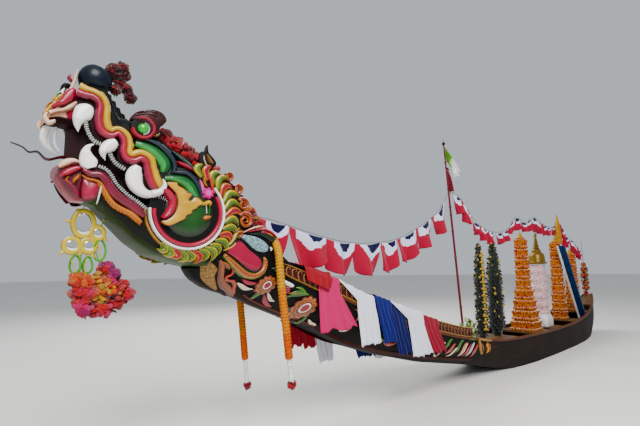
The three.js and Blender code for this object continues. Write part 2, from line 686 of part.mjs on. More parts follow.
function cloths() {
  const inboard = 60;
  for (const [name, from, to, portHem, stbdHem, material] of CLOTHS) {
    const corners = HULL.map(row => row[0]);
    const seams = [...corners, ...corners.map(x => x + CLOTH_LEAN)].filter(x => x > from + 1 && x < to - 1);
    const xs = [from, ...seams.sort((a, b) => a - b), to];
    const section = (x, grow) => {
      const port = drape(x);
      const stbd = drape(x - CLOTH_LEAN);
      return [
        point(x, port.side + grow, port.sheer - portHem), point(x, port.side + grow, port.top + grow),
        point(x, port.side - inboard, port.top + grow),
        point(x - CLOTH_LEAN / 2, 0, (port.top + stbd.top) / 2 + CLOTH_CROWN + grow),
        point(x - CLOTH_LEAN, inboard - stbd.side, stbd.top + grow),
        point(x - CLOTH_LEAN, -stbd.side - grow, stbd.top + grow),
        point(x - CLOTH_LEAN, -stbd.side - grow, stbd.sheer - stbdHem),
      ];
    };
    part(name, shell(xs.map(x => section(x, CLOTH_THICK)), xs.map(x => section(x, 0))), material);
  }
}

// Closed sheet between two grids of points of the same size
function shell(outer, inner) {
  const rows = outer.length;
  const columns = outer[0].length;
  const offset = rows * columns;
  const id = (r, c) => r * columns + c;
  const faces = [];
  const quad = (a, b, c, d) => faces.push(a, b, c, a, c, d);
  for (let r = 0; r + 1 < rows; r += 1) {
    for (let c = 0; c + 1 < columns; c += 1) {
      quad(id(r, c), id(r, c + 1), id(r + 1, c + 1), id(r + 1, c));
      quad(offset + id(r + 1, c), offset + id(r + 1, c + 1), offset + id(r, c + 1), offset + id(r, c));
    }
  }
  const edge = (a, b) => quad(b, a, offset + a, offset + b);
  for (let c = 0; c + 1 < columns; c += 1) {
    edge(id(0, c), id(0, c + 1));
    edge(id(rows - 1, c + 1), id(rows - 1, c));
  }
  for (let r = 0; r + 1 < rows; r += 1) {
    edge(id(r + 1, 0), id(r, 0));
    edge(id(r, columns - 1), id(r + 1, columns - 1));
  }
  return indexed([...outer.flat(), ...inner.flat()], faces);
}

// Mast: a pole that leans forward, its foot cut to the deck's slope
const mastX = z => MAST_FOOT.x + ((MAST_TOP.x - MAST_FOOT.x) * (z - MAST_FOOT.z)) / (MAST_TOP.z - MAST_FOOT.z);
const deckTop = x => at(HULL, x)[2] + GAP + DECK_THICK;

function mast() {
  const sides = 10;
  const foot = mastX(560);
  const ring = height => Array.from({ length: sides }, (_, i) => {
    const angle = (2 * Math.PI * i) / sides;
    const [dx, dy] = [MAST_RADIUS * Math.cos(angle), MAST_RADIUS * Math.sin(angle)];
    const z = height ?? deckTop(foot + dx) + GAP;
    return point((height ? mastX(height) : foot) + dx, dy, z);
  });
  part('mast', loft([ring(null), ring(1500), ring(3000), ring(MAST_TOP.z)]), MATERIAL.crimson);
}

// Flags at the mast's head, hanging aft of it
function mastFlags() {
  const edge = z => [mastX(z) - MAST_RADIUS - GAP, z];
  const outline = [edge(3900), edge(3120), [4060, 3060], [4150, 3400], [4030, 3350], [3820, 3480]];
  part('mast_flags', relief(outline, -5, 5), MATERIAL.redCloth);
}

// Bunting strips on the centreline: x, top edge, bottom edge, half length of a flat stretch that rests on a tip
const neckTopAt = x => at(NECK, x)[2] + GAP;
const BUNTING_FORE = [
  [8280, 2270, neckTopAt(8280)],
  [8100, 2285, neckTopAt(8100)],
  [7900, 2284, 1842],
  [7300, 2190, 1740],
  [6700, 2120, 1680],
  [6100, 2110, 1680],
  [5500, 2260, 1850],
  [4900, 2600, 2220],
];
const BUNTING_AFT = [
  [3800, 3000, 2720],
  [3360, 2800, 2520],
  [3070, 2630, 2360],
  [2750, 2560, 2310.3, 20],
  [2360, 2520, 2260],
  [1760, 2720, 2480],
  [1400, 2820, 2540.3, 20],
  [980, 2750, 2500],
  [560, 2900, 2570.3, 20],
  [100, 2740, 2480],
  [-650, 2740, 2520.3, 20],
  [-1270, 2670, 2420],
  [-1700, 2470, 2250.3, 20],
  [-2300, 2220, 2000],
  [-2700, 2030, 1860],
];

function bunting() {
  const ring = (x, top, bottom, lean = 0) => [
    point(x + lean, -5, top), point(x + lean, 5, top), point(x, 5, bottom), point(x, -5, bottom),
  ];
  const fore = mastX(2700) + MAST_RADIUS + GAP;
  const aft = mastX(2830) - MAST_RADIUS - GAP;
  const height = 400;
  const slant = mastX(2700 + height) - mastX(2700);
  part('bunting_fore', loft([
    ...BUNTING_FORE.map(([x, top, bottom]) => ring(x, top, bottom)),
    ring(fore, 2700 + height, 2700, slant),
  ]), MATERIAL.redCloth);
  part('bunting_aft', loft([
    ring(aft, 3100, 2830, mastX(3100) - mastX(2830)),
    ...BUNTING_AFT.flatMap(([x, top, bottom, flat = 0]) => {
      const ends = flat ? [x + flat, x - flat] : [x];
      return ends.map(stop => ring(stop, top, bottom));
    }),
  ]), MATERIAL.redCloth);
}

// Cone trees: name, x, height of the tip, greatest radius
const TREES = [['tree_fore', 3330, 2240, 105], ['tree_aft', 2750, 2310, 165]];

function trees() {
  for (const [name, x, tip, radius] of TREES) {
    const foot = seatTop(x);
    const up = share => foot + (tip - foot) * share;
    const profile = [[radius * 0.6, foot], [radius * 0.6, up(0.03)], [radius, up(0.08)], [radius * 0.95, up(0.5)],
      [radius * 0.6, up(0.8)], [6, tip]];
    part(name, turned(x, 0, profile, 10), MATERIAL.leaves);
  }
}

// Tiered towers: name, x, height of the tip, half width at the foot, half width at the shoulder
const TOWERS = [
  ['tower_fore', 1400, 2540, 250, 125],
  ['tower_mid', -650, 2520, 150, 120],
  ['tower_aft', -1700, 2250, 150, 130],
];
const TIERS = 9;

function square(x, half, z) {
  return [point(x - half, -half, z), point(x + half, -half, z), point(x + half, half, z), point(x - half, half, z)];
}

function towers() {
  for (const [name, x, tip, footHalf, topHalf] of TOWERS) {
    const foot = seatTop(x);
    const step = (tip - 160 - foot) / TIERS;
    const rings = [];
    for (let i = 0; i < TIERS; i += 1) {
      const half = i < 4 ? footHalf + ((topHalf - footHalf) * i) / 4 : topHalf * (1 - (i - 4) * 0.07);
      rings.push(square(x, half, foot + step * i), square(x, half * 0.88, foot + step * (i + 0.85)));
    }
    rings.push(square(x, topHalf * 0.5, tip - 160), square(x, 8, tip));
    part(name, loft(rings), MATERIAL.tier);
  }
}

// Bell-shaped stupa on a square white base
const STUPA = { x: 560, half: 165, bell: 1830, tip: 2570 };

function stupa() {
  const foot = seatTop(STUPA.x);
  const base = loft([square(STUPA.x, STUPA.half * 1.2, foot), square(STUPA.x, STUPA.half * 1.2, foot + 200),
    square(STUPA.x, STUPA.half, foot + 260), square(STUPA.x, STUPA.half * 0.9, STUPA.bell)]);
  const profile = [[205, STUPA.bell - 10], [205, STUPA.bell + 30], [170, STUPA.bell + 80], [150, STUPA.bell + 230],
    [95, STUPA.bell + 260], [100, STUPA.bell + 300], [60, STUPA.bell + 420], [62, STUPA.bell + 450],
    [35, STUPA.bell + 560], [45, STUPA.bell + 610], [5, STUPA.tip]];
  part('stupa', geometryOf(join([base, turned(STUPA.x, 0, profile, 16)])), MATERIAL.gold);
}

// Flowers and a thin spike on the stern
function sternPlume() {
  const x = -2780;
  const foot = deckTop(x);
  const ring = (radius, z) => Array.from({ length: 10 }, (_, i) => {
    const angle = (2 * Math.PI * i) / 10;
    const dx = radius * Math.cos(angle);
    return point(x + dx, radius * Math.sin(angle), z ?? deckTop(x + dx) + GAP);
  });
  part('stern_plume', loft([ring(70, null), ring(80, foot + 150), ring(120, foot + 300), ring(130, foot + 700),
    ring(60, foot + 1000), ring(8, foot + 1060), ring(5, foot + 1560)]), MATERIAL.flowers);
}

hull();
rails();
fretwork();
decks();
seats();
head();
tongue();
mouth();
jawPlate();
eyes();
ridge();
mane();
namePlate();
bowCarving();
flowers();
pendant();
garlands();
cloths();
mast();
mastFlags();
bunting();
trees();
towers();
stupa();
sternPlume();

export default boat;
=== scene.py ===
import bpy
import numpy as np
from mathutils import Matrix
from mathutils.geometry import tessellate_polygon
from numpy import (array, broadcast_to, column_stack, concatenate, cos, interp, linspace, maximum, pi, sin,
                   stack)


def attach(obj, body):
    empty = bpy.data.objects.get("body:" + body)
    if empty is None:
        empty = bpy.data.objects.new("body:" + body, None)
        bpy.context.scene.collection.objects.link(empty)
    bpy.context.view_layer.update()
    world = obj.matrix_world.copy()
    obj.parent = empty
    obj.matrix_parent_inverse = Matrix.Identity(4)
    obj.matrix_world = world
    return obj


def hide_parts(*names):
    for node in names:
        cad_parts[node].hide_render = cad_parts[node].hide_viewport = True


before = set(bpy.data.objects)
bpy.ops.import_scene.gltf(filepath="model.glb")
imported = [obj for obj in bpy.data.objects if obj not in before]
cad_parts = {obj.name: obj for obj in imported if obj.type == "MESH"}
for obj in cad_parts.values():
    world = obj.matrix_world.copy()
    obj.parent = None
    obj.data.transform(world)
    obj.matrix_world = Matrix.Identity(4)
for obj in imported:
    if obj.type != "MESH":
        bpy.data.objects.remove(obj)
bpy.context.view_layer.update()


rng = np.random.default_rng(7)
SIDES = (("port", 1), ("stbd", -1))
# The gap that keeps two pieces from touching, and the thickness of every cloth
HAIR, CLOTH_THICK = 0.0003, 0.002


# Camera, light and floor

def added(name, data, axes=None, place=None):
    """A new object in the scene, turned to its three axes and put in its place where they are given."""
    made = bpy.data.objects.new(name, data)
    if axes is not None:
        turn = np.eye(4)
        turn[:3] = column_stack([*axes, place])
        made.matrix_world = Matrix(turn.tolist())
    bpy.context.scene.collection.objects.link(made)
    return made


EYE_POINT, LOOK_ALONG, PITCH, ROLL = (10.9, 3.83, 1.8), (-0.68, -0.73, 0), 7.3, 0.7
FOCAL_PIXELS, PICTURE_PIXELS, SENSOR = 427, 640, 36
# Lamps: place, size and power; both aim at one point amidships
LAMPS = (("key", (12, 8, 10), 7, 3200), ("fill", (2, -9, 10), 10, 1600))
AMIDSHIPS = (5.5, 0, 1.2)
# The opening in the floor runs between these x, where the hull meets the water; the floor's edge is far off
HULL_AFLOAT, FLOOR_REACH = (-2.28, 3.45), 85


def set_up_studio():
    """Camera at the photograph's place, a soft sky, two broad lamps, and a pale floor at the water's level,
    open where the hull lies in it."""
    forward = unit(array([LOOK_ALONG]))[0]
    pitch, roll = np.radians(PITCH), np.radians(ROLL)
    forward = forward * cos(pitch) + array([0, 0, sin(pitch)])
    right = unit(np.cross([forward], [0, 0, 1]))[0]
    up = np.cross(right, forward)
    right, up = right * cos(roll) - up * sin(roll), right * sin(roll) + up * cos(roll)
    lens = bpy.data.cameras.new("camera")
    lens.sensor_width = SENSOR
    lens.lens = FOCAL_PIXELS / PICTURE_PIXELS * SENSOR
    lens.clip_end = 200
    bpy.context.scene.camera = added("camera", lens, (right, up, -forward), EYE_POINT)

    world = bpy.data.worlds.new("sky")
    world.use_nodes = True
    sky = world.node_tree.nodes["Background"].inputs
    sky["Color"].default_value = (0.86, 0.92, 1.0, 1)
    sky["Strength"].default_value = 0.6
    bpy.context.scene.world = world
    for name, place, size, watts in LAMPS:
        lamp = bpy.data.lights.new(name, "AREA")
        lamp.size = size
        lamp.energy = watts
        z = unit(array([place]) - AMIDSHIPS)[0]
        x = unit(np.cross([[0, 0, 1]], z))[0]
        added(name, lamp, (x, np.cross(z, x), z), place)

    xs = linspace(*HULL_AFLOAT, 80)
    y, z = hull_skin(xs, 0.02, 0.02)
    half = array([interp(0, heights, reach) for reach, heights in zip(y, z)])
    hole = column_stack([concatenate([xs, xs[::-1]]), concatenate([-half, half[::-1]])])
    away = hole - [0.6, 0]
    rings = stack([hole, FLOOR_REACH * unit(away)])
    points, faces, _ = grid(np.dstack([rings, rings[..., :1] * 0]))
    ground = bpy.data.meshes.new("floor")
    ground.from_pydata(points.tolist(), [], faces.tolist())
    ground.materials.append(Finish("pale_floor", 0.9).done((0.72, 0.70, 0.66, 1)))
    added("floor", ground)


# Paints, cloths and other finishes

def shade(code):
    """Linear colour of a screen colour; the purer it is the deeper, as soft light pales strong paint."""
    c = array([int(code[i:i + 2], 16) for i in (0, 2, 4)]) / 255
    linear = np.where(c <= 0.04045, c / 12.92, ((c + 0.055) / 1.055) ** 2.4)
    strength = ((linear.max() - linear.min()) / max(linear.max(), 0.02)) ** 2
    return (*((linear - linear.min() * strength) * (0.92 - 0.5 * strength)).tolist(), 1.0)


class Finish:
    """A material in the making: its methods add shader nodes and hand back the socket that they end in."""

    def __init__(self, name, roughness, coat=0.0, metallic=0.0, sheen=0.0):
        self.material = bpy.data.materials.new(name)
        self.material.use_nodes = True
        self.tree = self.material.node_tree
        self.shader = self.tree.nodes["Principled BSDF"]
        for socket, value in (("Roughness", roughness), ("Coat Weight", coat), ("Metallic", metallic),
                              ("Sheen Weight", sheen), ("Specular IOR Level", 0.1 + 0.6 * coat)):
            self.shader.inputs[socket].default_value = value
        place = self.node("TexCoord").outputs
        self.spot, self.uv = place["Object"], place["UV"]

    def node(self, kind, inputs=(), **settings):
        """A shader node; an input is a plain value or the socket that feeds it."""
        made = self.tree.nodes.new("ShaderNode" + kind)
        for key, value in settings.items():
            setattr(made, key, value)
        for key, value in dict(inputs).items():
            self.feed(made.inputs[key], value)
        return made

    def feed(self, socket, value):
        """Sets a socket to a plain value, or links it to the socket that feeds it."""
        if isinstance(value, bpy.types.NodeSocket):
            self.tree.links.new(value, socket)
        else:
            socket.default_value = value

    def noise(self, scale, detail=3.0, spot=None):
        """Soft noise over the object's own coordinates, or over another spot."""
        vector = self.spot if spot is None else spot
        return self.node("TexNoise", {"Vector": vector, "Scale": scale, "Detail": detail}).outputs["Fac"]

    def scaled(self, vector, scale):
        """A vector, each part times its own scale."""
        return self.node("Mapping", {"Vector": vector, "Scale": scale}).outputs[0]

    def split(self, vector):
        """The three parts of a vector."""
        return self.node("SeparateXYZ", {0: vector}).outputs

    def math(self, operation, a, b=0.0):
        """The named operation on two values."""
        return self.node("Math", {0: a, 1: b}, operation=operation).outputs[0]

    def add(self, a, b):
        return self.math("ADD", a, b)

    def times(self, a, b):
        return self.math("MULTIPLY", a, b)

    def drift(self, scale, reach):
        """Noise about zero, whose edges lie half the reach away."""
        return self.times(self.math("SUBTRACT", self.noise(scale), 0.5), reach)

    def span(self, value, low, high, first=0.0, last=1.0):
        """The value carried from low..high to first..last, and held at those ends."""
        return self.node("MapRange", {0: value, 1: low, 2: high, 3: first, 4: last}).outputs[0]

    def mix(self, share, first, second, mode="MIX"):
        """A colour from first to second by share."""
        return self.node("Mix", {0: share, 6: first, 7: second}, data_type="RGBA", blend_type=mode).outputs[2]

    def shaded(self, colour, share):
        """A colour times a share."""
        return self.mix(1.0, colour, share, "MULTIPLY")

    def ramp(self, share, stops, smooth=False):
        """Colours by share. The stops are one text: a place and its colour, again and again."""
        words = stops.split()
        rows = list(zip(map(float, words[::2]), words[1::2]))
        rows = rows * 2 if len(rows) == 1 else rows
        made = self.node("ValToRGB", {"Fac": share})
        scale = made.color_ramp
        scale.interpolation = "EASE" if smooth else "CONSTANT"
        for element, (place, code) in ((scale.elements[1], rows[-1]), (scale.elements[0], rows[0])):
            element.position, element.color = place, shade(code)
        for place, code in rows[1:-1]:
            scale.elements.new(place).color = shade(code)
        return made.outputs["Color"]

    def soled(self, colour, code, first, last):
        """Another paint where a face looks down: full where its normal's z is under first, none over last."""
        down = self.split(self.node("NewGeometry").outputs["Normal"])[2]
        return self.mix(self.span(down, first, last, 1.0, 0.0), colour, shade(code))

    def done(self, colour, height=None, strength=0.5, distance=0.004):
        """The material, with its colour and, where a height is given, its relief."""
        self.feed(self.shader.inputs["Base Color"], colour)
        if height is not None:
            bump = self.node("Bump", {"Height": height, "Strength": strength, "Distance": distance})
            self.feed(self.shader.inputs["Normal"], bump.outputs[0])
        return self.material


def painted(name, stops, roughness=0.32, coat=0.3, wander=0.04, dust=0.3, relief=0.25, smooth=False,
            metallic=0.0, sole=None):
    """Brush-painted wood: bands of colour with wandering edges, over patches of dust and sun."""
    f = Finish(name, roughness, coat, metallic)
    colour = f.ramp(f.add(f.split(f.uv)[1], f.drift(24.0, wander * 2)), stops, smooth)
    colour = f.shaded(colour, f.span(f.noise(9.0, 5.0), 0.3, 0.7, 1 - dust, 1.08))
    colour = f.mix(f.span(f.noise(180.0, 2.0), 0.62, 0.75, 0.0, 0.2), colour, shade("5a4632"))
    if sole:
        colour = f.soled(colour, *sole)
    return f.done(colour, f.noise(60.0), relief)


def planked(name, first, second, plank):
    """Boards: long streaks of grain along the boat, a tone for each board and a dark seam between boards."""
    f = Finish(name, 0.6, 0.1)
    lane = f.math("DIVIDE", f.split(f.spot)[1], plank)
    tone = f.node("TexWhiteNoise", {"W": f.math("FLOOR", lane)}, noise_dimensions="1D").outputs["Value"]
    grain = f.noise(1.0, 6.0, f.scaled(f.spot, (1.2, 30, 30)))
    colour = f.mix(f.add(f.times(tone, 0.45), f.times(grain, 0.6)), shade(first), shade(second))
    seam = f.span(f.math("PINGPONG", lane, 0.5), 0.0, 0.05, 0.25, 1.0)
    return f.done(f.shaded(colour, seam), f.add(f.times(grain, 0.3), seam))


def hull_finish(name):
    """Weathered planks aft, black lacquer on the carved bow, with grime that fades upwards from the water."""
    f = Finish(name, 0.65)
    x, _, z = f.split(f.spot)
    grain = f.noise(1.0, 6.0, f.scaled(f.spot, (1.0, 24, 24)))
    patches = f.noise(3.0, 5.0)
    worn = f.add(f.times(grain, 0.6), f.times(patches, 0.4))
    old = f.ramp(worn, "0.3 0a0705 0.45 170e09 0.6 281b12 0.72 3a2c20", True)
    lacquer = f.ramp(patches, "0.3 060504 0.7 0e0b0a", True)
    bow = f.span(f.add(x, f.times(patches, 0.4)), 4.55, 4.62)
    lane = f.math("DIVIDE", f.split(f.uv)[1], 0.055)
    seam = f.span(f.math("PINGPONG", lane, 0.5), 0.0, 0.06, 0.35, 1.0)
    wet = f.span(f.add(z, f.times(patches, 0.2)), 0.05, 0.3, 0.55, 1.0)
    colour = f.shaded(f.shaded(f.mix(bow, old, lacquer), seam), wet)
    return f.done(colour, f.add(f.times(grain, 0.4), seam), distance=0.005)


def head_finish(name):
    """Green-black lacquer that turns crimson and then flesh towards the nose, dark red under the palate."""
    f = Finish(name, 0.65)
    x, _, z = f.split(f.spot)
    along = f.add(x, f.times(f.noise(12.0), 0.05))
    base = f.ramp(f.noise(7.0, 4.0), "0.35 020303 0.65 060c09", True)
    colour = f.mix(f.span(along, 10.02, 10.04), base, shade("a81838"))
    slant = f.math("SUBTRACT", along, f.times(z, 0.6))
    colour = f.mix(f.span(slant, 8.37, 8.385), colour, shade("e0b49c"))
    return f.done(f.soled(colour, "2c0a0e", -0.6, -0.4), f.noise(60.0), 0.25)


def cloth_finish(name, first, second, far=None):
    """Thin satin: a shaded and a lit tone of its dye in long streaks down the folds, as painted fold shade
    and light; a crossed weave; and another dye, in two such tones, off the port side.
    """
    f = Finish(name, 0.75, sheen=0.08)
    streak = f.scaled(f.uv, (22, 3, 1))
    # soft mixes the shaded and the lit tone in streaks down the folds: painted fold shade and light
    soft = f.noise(1.0, 4.0, streak)
    colour = f.mix(soft, shade(first), shade(second))
    if far:
        near = f.span(f.split(f.spot)[1], 0.37, 0.375)
        colour = f.mix(near, f.mix(soft, *map(shade, far)), colour)
    wave = {"Vector": f.spot, "Scale": 80.0, "Distortion": 1.0}
    threads = f.node("TexWave", wave, bands_direction="DIAGONAL").outputs["Fac"]
    return f.done(colour, f.add(f.times(threads, 0.3), f.noise(3.0, 5.0, streak)), 0.35)


def flag_finish(name, stops):
    """Printed flag cloth: colours in rings about the middle of the fold it hangs by, nearer its aft end."""
    f = Finish(name, 0.75, sheen=0.08)
    spot = f.node("Mapping", {"Vector": f.uv, "Location": (-0.34, 0, 0)}).outputs[0]
    reach = f.node("VectorMath", {0: spot}, operation="LENGTH").outputs["Value"]
    return f.done(f.ramp(f.add(reach, f.drift(5.0, 0.5)), stops), f.noise(45.0, 4.0), 0.4, 0.006)


def petal_finish(name, hues, dark=0.35):
    """Cloth flowers, a hue each by its number: painted shade at the heart and beneath, painted highlight at
    the tips.
    """
    f = Finish(name, 0.75, sheen=0.3)
    hue, depth, _ = f.split(f.uv)
    codes = hues.split()
    colour = f.ramp(hue, " ".join(f"{k / len(codes)} {code}" for k, code in enumerate(codes)))
    colour = f.shaded(colour, f.span(depth, 0.0, 1.0, dark, 1.15))
    colour = f.shaded(colour, f.span(f.noise(60.0), 0.3, 0.7, 0.75, 1.15))
    return f.done(colour, f.noise(220.0), distance=0.002)


def stippled(name, first, second, scale):
    """Rough ground of small dabs in two tones."""
    f = Finish(name, 0.6, 0.1)
    dabs = f.node("TexVoronoi", {"Vector": f.spot, "Scale": scale}).outputs["Distance"]
    return f.done(f.mix(f.span(dabs, 0.15, 0.55), shade(first), shade(second)), dabs, 0.6, 0.006)


def garland_finish(name):
    """Orange flower heads over most of the rope, then pale buds, then red."""
    f = Finish(name, 0.8)
    along = f.add(f.split(f.uv)[0], f.drift(40.0, 0.03))
    zone = f.ramp(along, "0 ffb010 0.45 ff9008 0.7 f86c10 0.84 d9dcd6 0.97 c01828")
    return f.done(f.shaded(zone, f.span(f.noise(70.0), 0.3, 0.7, 0.6, 1.25)), f.noise(150.0), 0.7)


def tier_finish(name):
    """Paper boxes: torn patches of gold, orange and red, and a thin white edge along a tier's rims."""
    f = Finish(name, 0.7)
    patch = f.noise(22.0, 5.0)
    colour = f.ramp(patch, "0.3 7a1a10 0.4 d8461c 0.48 f09a28 0.56 d85420 0.64 f4c040 0.72 b02818")
    edge = f.add(f.split(f.uv)[1], f.times(patch, 0.04))
    rim = f.ramp(edge, "0 000000 0.17 ffffff 0.22 000000 0.82 ffffff 0.87 000000")
    return f.done(f.mix(f.times(rim, 0.7), colour, shade("f2efe2")), f.noise(90.0), 0.6, 0.006)


def mirror_finish(name):
    """Silvered glass that is a little uneven."""
    f = Finish(name, 0.06, 0.2, 1.0)
    return f.done((0.86, 0.88, 0.88, 1), f.noise(14.0), 0.15)


# Curves and surfaces

def metres(rows):
    """A table in metres from one text in millimetres, with a comma between its rows."""
    return array([row.split() for row in rows.split(",")], float) / 1000


def unit(rows):
    """Each row as a direction of length one; a row of zeros stays as it is."""
    size = np.linalg.norm(rows, axis=1)[:, None]
    return rows / np.where(size > 0, size, 1)


def curve(points, count, closed=False):
    """Smooth curve through the points (each stretch a cubic that leans on its neighbours), in equal steps."""
    p = np.asarray(points, float)
    ends = (p[-1:], p[:2]) if closed else (2 * p[:1] - p[1:2], 2 * p[-1:] - p[-2:-1])
    ring = np.vstack([ends[0], p, ends[1]])
    a, b, c, d = (ring[i:len(ring) - 3 + i, None, :] for i in range(4))
    t = linspace(0, 1, 16, endpoint=False)[None, :, None]
    fine = 0.5 * (2 * b + (c - a) * t + (2 * a - 5 * b + 4 * c - d) * t ** 2
                  + (3 * b - a - 3 * c + d) * t ** 3)
    fine = np.vstack([fine.reshape(-1, p.shape[1]), p[:1] if closed else p[-1:]])
    walk = concatenate([[0], np.cumsum(np.linalg.norm(np.diff(fine, axis=0), axis=1))])
    even = linspace(0, walk[-1], count + int(closed))[:count]
    return column_stack([interp(even, walk, column) for column in fine.T])


def eased(table, xs, reach):
    """Every column of the table at xs: straight between its rows, with the corners rounded over the reach."""
    t = np.asarray(table, float)
    t = np.vstack([2 * t[0] - t[1], t, 2 * t[-1] - t[-2]])
    spots = xs[:, None] + linspace(-reach, reach, 11)
    return column_stack([interp(spots, t[:, 0], column).mean(1) for column in t.T])


def grid(points, u=None, v=None):
    """A surface from rows and columns of points, with its two parameters as UV."""
    rows, columns = points.shape[:2]
    u = linspace(0, 1, rows) if u is None else np.asarray(u)
    v = linspace(0, 1, columns) if v is None else np.asarray(v)
    index = np.arange(rows * columns).reshape(rows, columns)
    faces = stack([index[:-1, :-1], index[:-1, 1:], index[1:, 1:], index[1:, :-1]], -1).reshape(-1, 4)
    uv = stack(np.meshgrid(u, v, indexing="ij"), -1).reshape(-1, 2)
    return points.reshape(-1, 3), faces, uv


def capped(points, u=None, v=None):
    """A tube of rings, closed at both ends by drawing the last rings to their middles."""
    first, last = points[:1].mean(1, keepdims=True), points[-1:].mean(1, keepdims=True)
    ends = [broadcast_to(end, points[:1].shape) for end in (first, last)]
    u = linspace(0, 1, len(points)) if u is None else np.asarray(u)
    return grid(concatenate([ends[0], points, ends[1]]), concatenate([u[:1], u, u[-1:]]), v)


def sideways(line):
    """Unit directions along a line and to its left."""
    way = unit(np.gradient(line[:, :2], axis=0))
    return way, stack([-way[:, 1], way[:, 0]], -1)


def ribbon(rows, height, count=40, across=9, base=-0.002, fullness=0.7):
    """A raised band along a line (u, z, half width): a half wave of height across it, level at the back."""
    line = curve(rows, count)
    left = sideways(line)[1]
    share = linspace(0, 1, across)
    half = maximum(line[:, 2:3], 0)
    flat = line[:, None, :2] + left[:, None] * (-cos(pi * share) * half)[..., None]
    thin = np.minimum(1, half / (half.max() * 0.6 + 1e-9))
    lift = base + (height - base) * sin(pi * share) ** fullness * thin
    ring = concatenate([flat, lift[..., None]], -1)
    ring = concatenate([ring, ring[:, :1]], 1)
    return capped(ring, None, np.append(share, 0))


def boss(outline, height, crown=0.0, centre=None, base=-0.002, rings=8, count=None):
    """A raised plate: an upright wall on the outline, and a face that swells to a crown over its centre."""
    rim = np.asarray(outline, float) if count is None else curve(outline, count, True)
    middle = rim.mean(0) if centre is None else array(centre)
    share = linspace(0, 1, rings)
    rim = np.vstack([rim, rim[:1]])
    flat = rim[None] + (middle - rim)[None] * concatenate([[0], share])[:, None, None]
    swell = height + crown * np.sqrt(maximum(0, 1 - (1 - share) ** 2))
    lift = broadcast_to(concatenate([[base], swell])[:, None], flat.shape[:2])
    points = concatenate([flat, lift[..., None]], -1)
    floor = points[:1].copy()
    floor[..., :2] = middle
    points = concatenate([floor, points])
    uv = stack(np.meshgrid(concatenate([[0, 0], share]), linspace(0, 1, len(rim)), indexing="ij"), -1)
    uv = uv.reshape(-1, 2)[:, ::-1]
    made = grid(points)
    return made[0], made[1], uv


def plate(outline, height, chamfer=0.006, base=-0.002):
    """A flat raised shape of any outline: wall, sloping edge, and a level face."""
    rim = np.asarray(outline, float)
    area = np.sum(rim[:, 0] * np.roll(rim[:, 1], -1) - np.roll(rim[:, 0], -1) * rim[:, 1])
    rim = rim if area > 0 else rim[::-1]
    way = unit(np.roll(rim, -1, 0) - np.roll(rim, 1, 0))
    inner = rim + stack([-way[:, 1], way[:, 0]], -1) * chamfer
    n = len(rim)
    levels = [(rim, base), (rim, height - chamfer * 0.6), (inner, height)]
    rings = concatenate([column_stack([flat, np.full(n, lift)]) for flat, lift in levels])
    a = np.arange(n)
    b = (a + 1) % n
    walls = concatenate([stack([a, b, b + n, a + n], -1) + n * k for k in (0, 1)])
    caps = array(tessellate_polygon([[(*p, 0) for p in inner.tolist()]]))
    turn = np.cross(inner[caps[:, 1]] - inner[caps[:, 0]], inner[caps[:, 2]] - inner[caps[:, 0]])
    caps = np.where((turn > 0)[:, None], caps, caps[:, ::-1])
    top = column_stack([caps + 2 * n, caps[:, 2] + 2 * n])
    bottom = column_stack([caps[:, ::-1], caps[:, 0]])
    uv = column_stack([np.tile(a / n, 3), np.repeat([0.0, 0.0, 1.0], n)])
    return rings, concatenate([walls, top, bottom]), uv


def tube(path, radius, sides=10, count=None):
    """A round rod along a path in space; the radius may be given for each point."""
    rows = column_stack([np.asarray(path, float), broadcast_to(radius, len(path))])
    line = curve(rows, count) if count else rows
    way = unit(np.gradient(line[:, :3], axis=0))
    guide = array([0, 1, 0]) if abs(way[:, 1]).mean() < 0.7 else array([1, 0, 0])
    one = unit(np.cross(way, guide))
    two = np.cross(way, one)
    angle = linspace(0, 2 * pi, sides + 1)
    ring = one[:, None] * cos(angle)[:, None] + two[:, None] * sin(angle)[:, None]
    return capped(line[:, None, :3] + ring * line[:, 3][:, None, None])


def turned(centre, profile, sides=32, square=0.0):
    """A profile (radius, height) carried round an upright axis; it nears a square as square goes to 1."""
    profile = np.asarray(profile, float)
    angle = linspace(0, 2 * pi, sides + 1) + pi / sides
    reach = 1 / maximum(np.abs(cos(angle)), np.abs(sin(angle))) * square + (1 - square)
    x = centre[0] + profile[:, :1] * cos(angle) * reach
    y = centre[1] + profile[:, :1] * sin(angle) * reach
    z = broadcast_to(profile[:, 1:], x.shape)
    return capped(stack([x, y, z], -1))


def repeat(shape, places, sizes, facing, hues=None):
    """Copies of one small closed shape: its own z turned to each facing, with a random roll."""
    points, faces, uv = shape
    n = len(places)
    out = unit(facing)
    one = unit(np.cross(out, rng.normal(size=(n, 3))))
    frames = stack([one, np.cross(out, one), out], -1)
    sizes = broadcast_to(np.asarray(sizes, float).reshape(-1, 1, 1), (n, 1, 1))
    placed = np.einsum("nij,pj->npi", frames, points) * sizes + places[:, None]
    every = (faces[None] + (np.arange(n) * len(points))[:, None, None]).reshape(-1, faces.shape[1])
    hue = rng.random(n) if hues is None else hues
    spread = stack([broadcast_to(hue[:, None], (n, len(points))), broadcast_to(uv[:, 1], (n, len(points)))],
                   -1)
    return placed.reshape(-1, 3), every, spread.reshape(-1, 2)


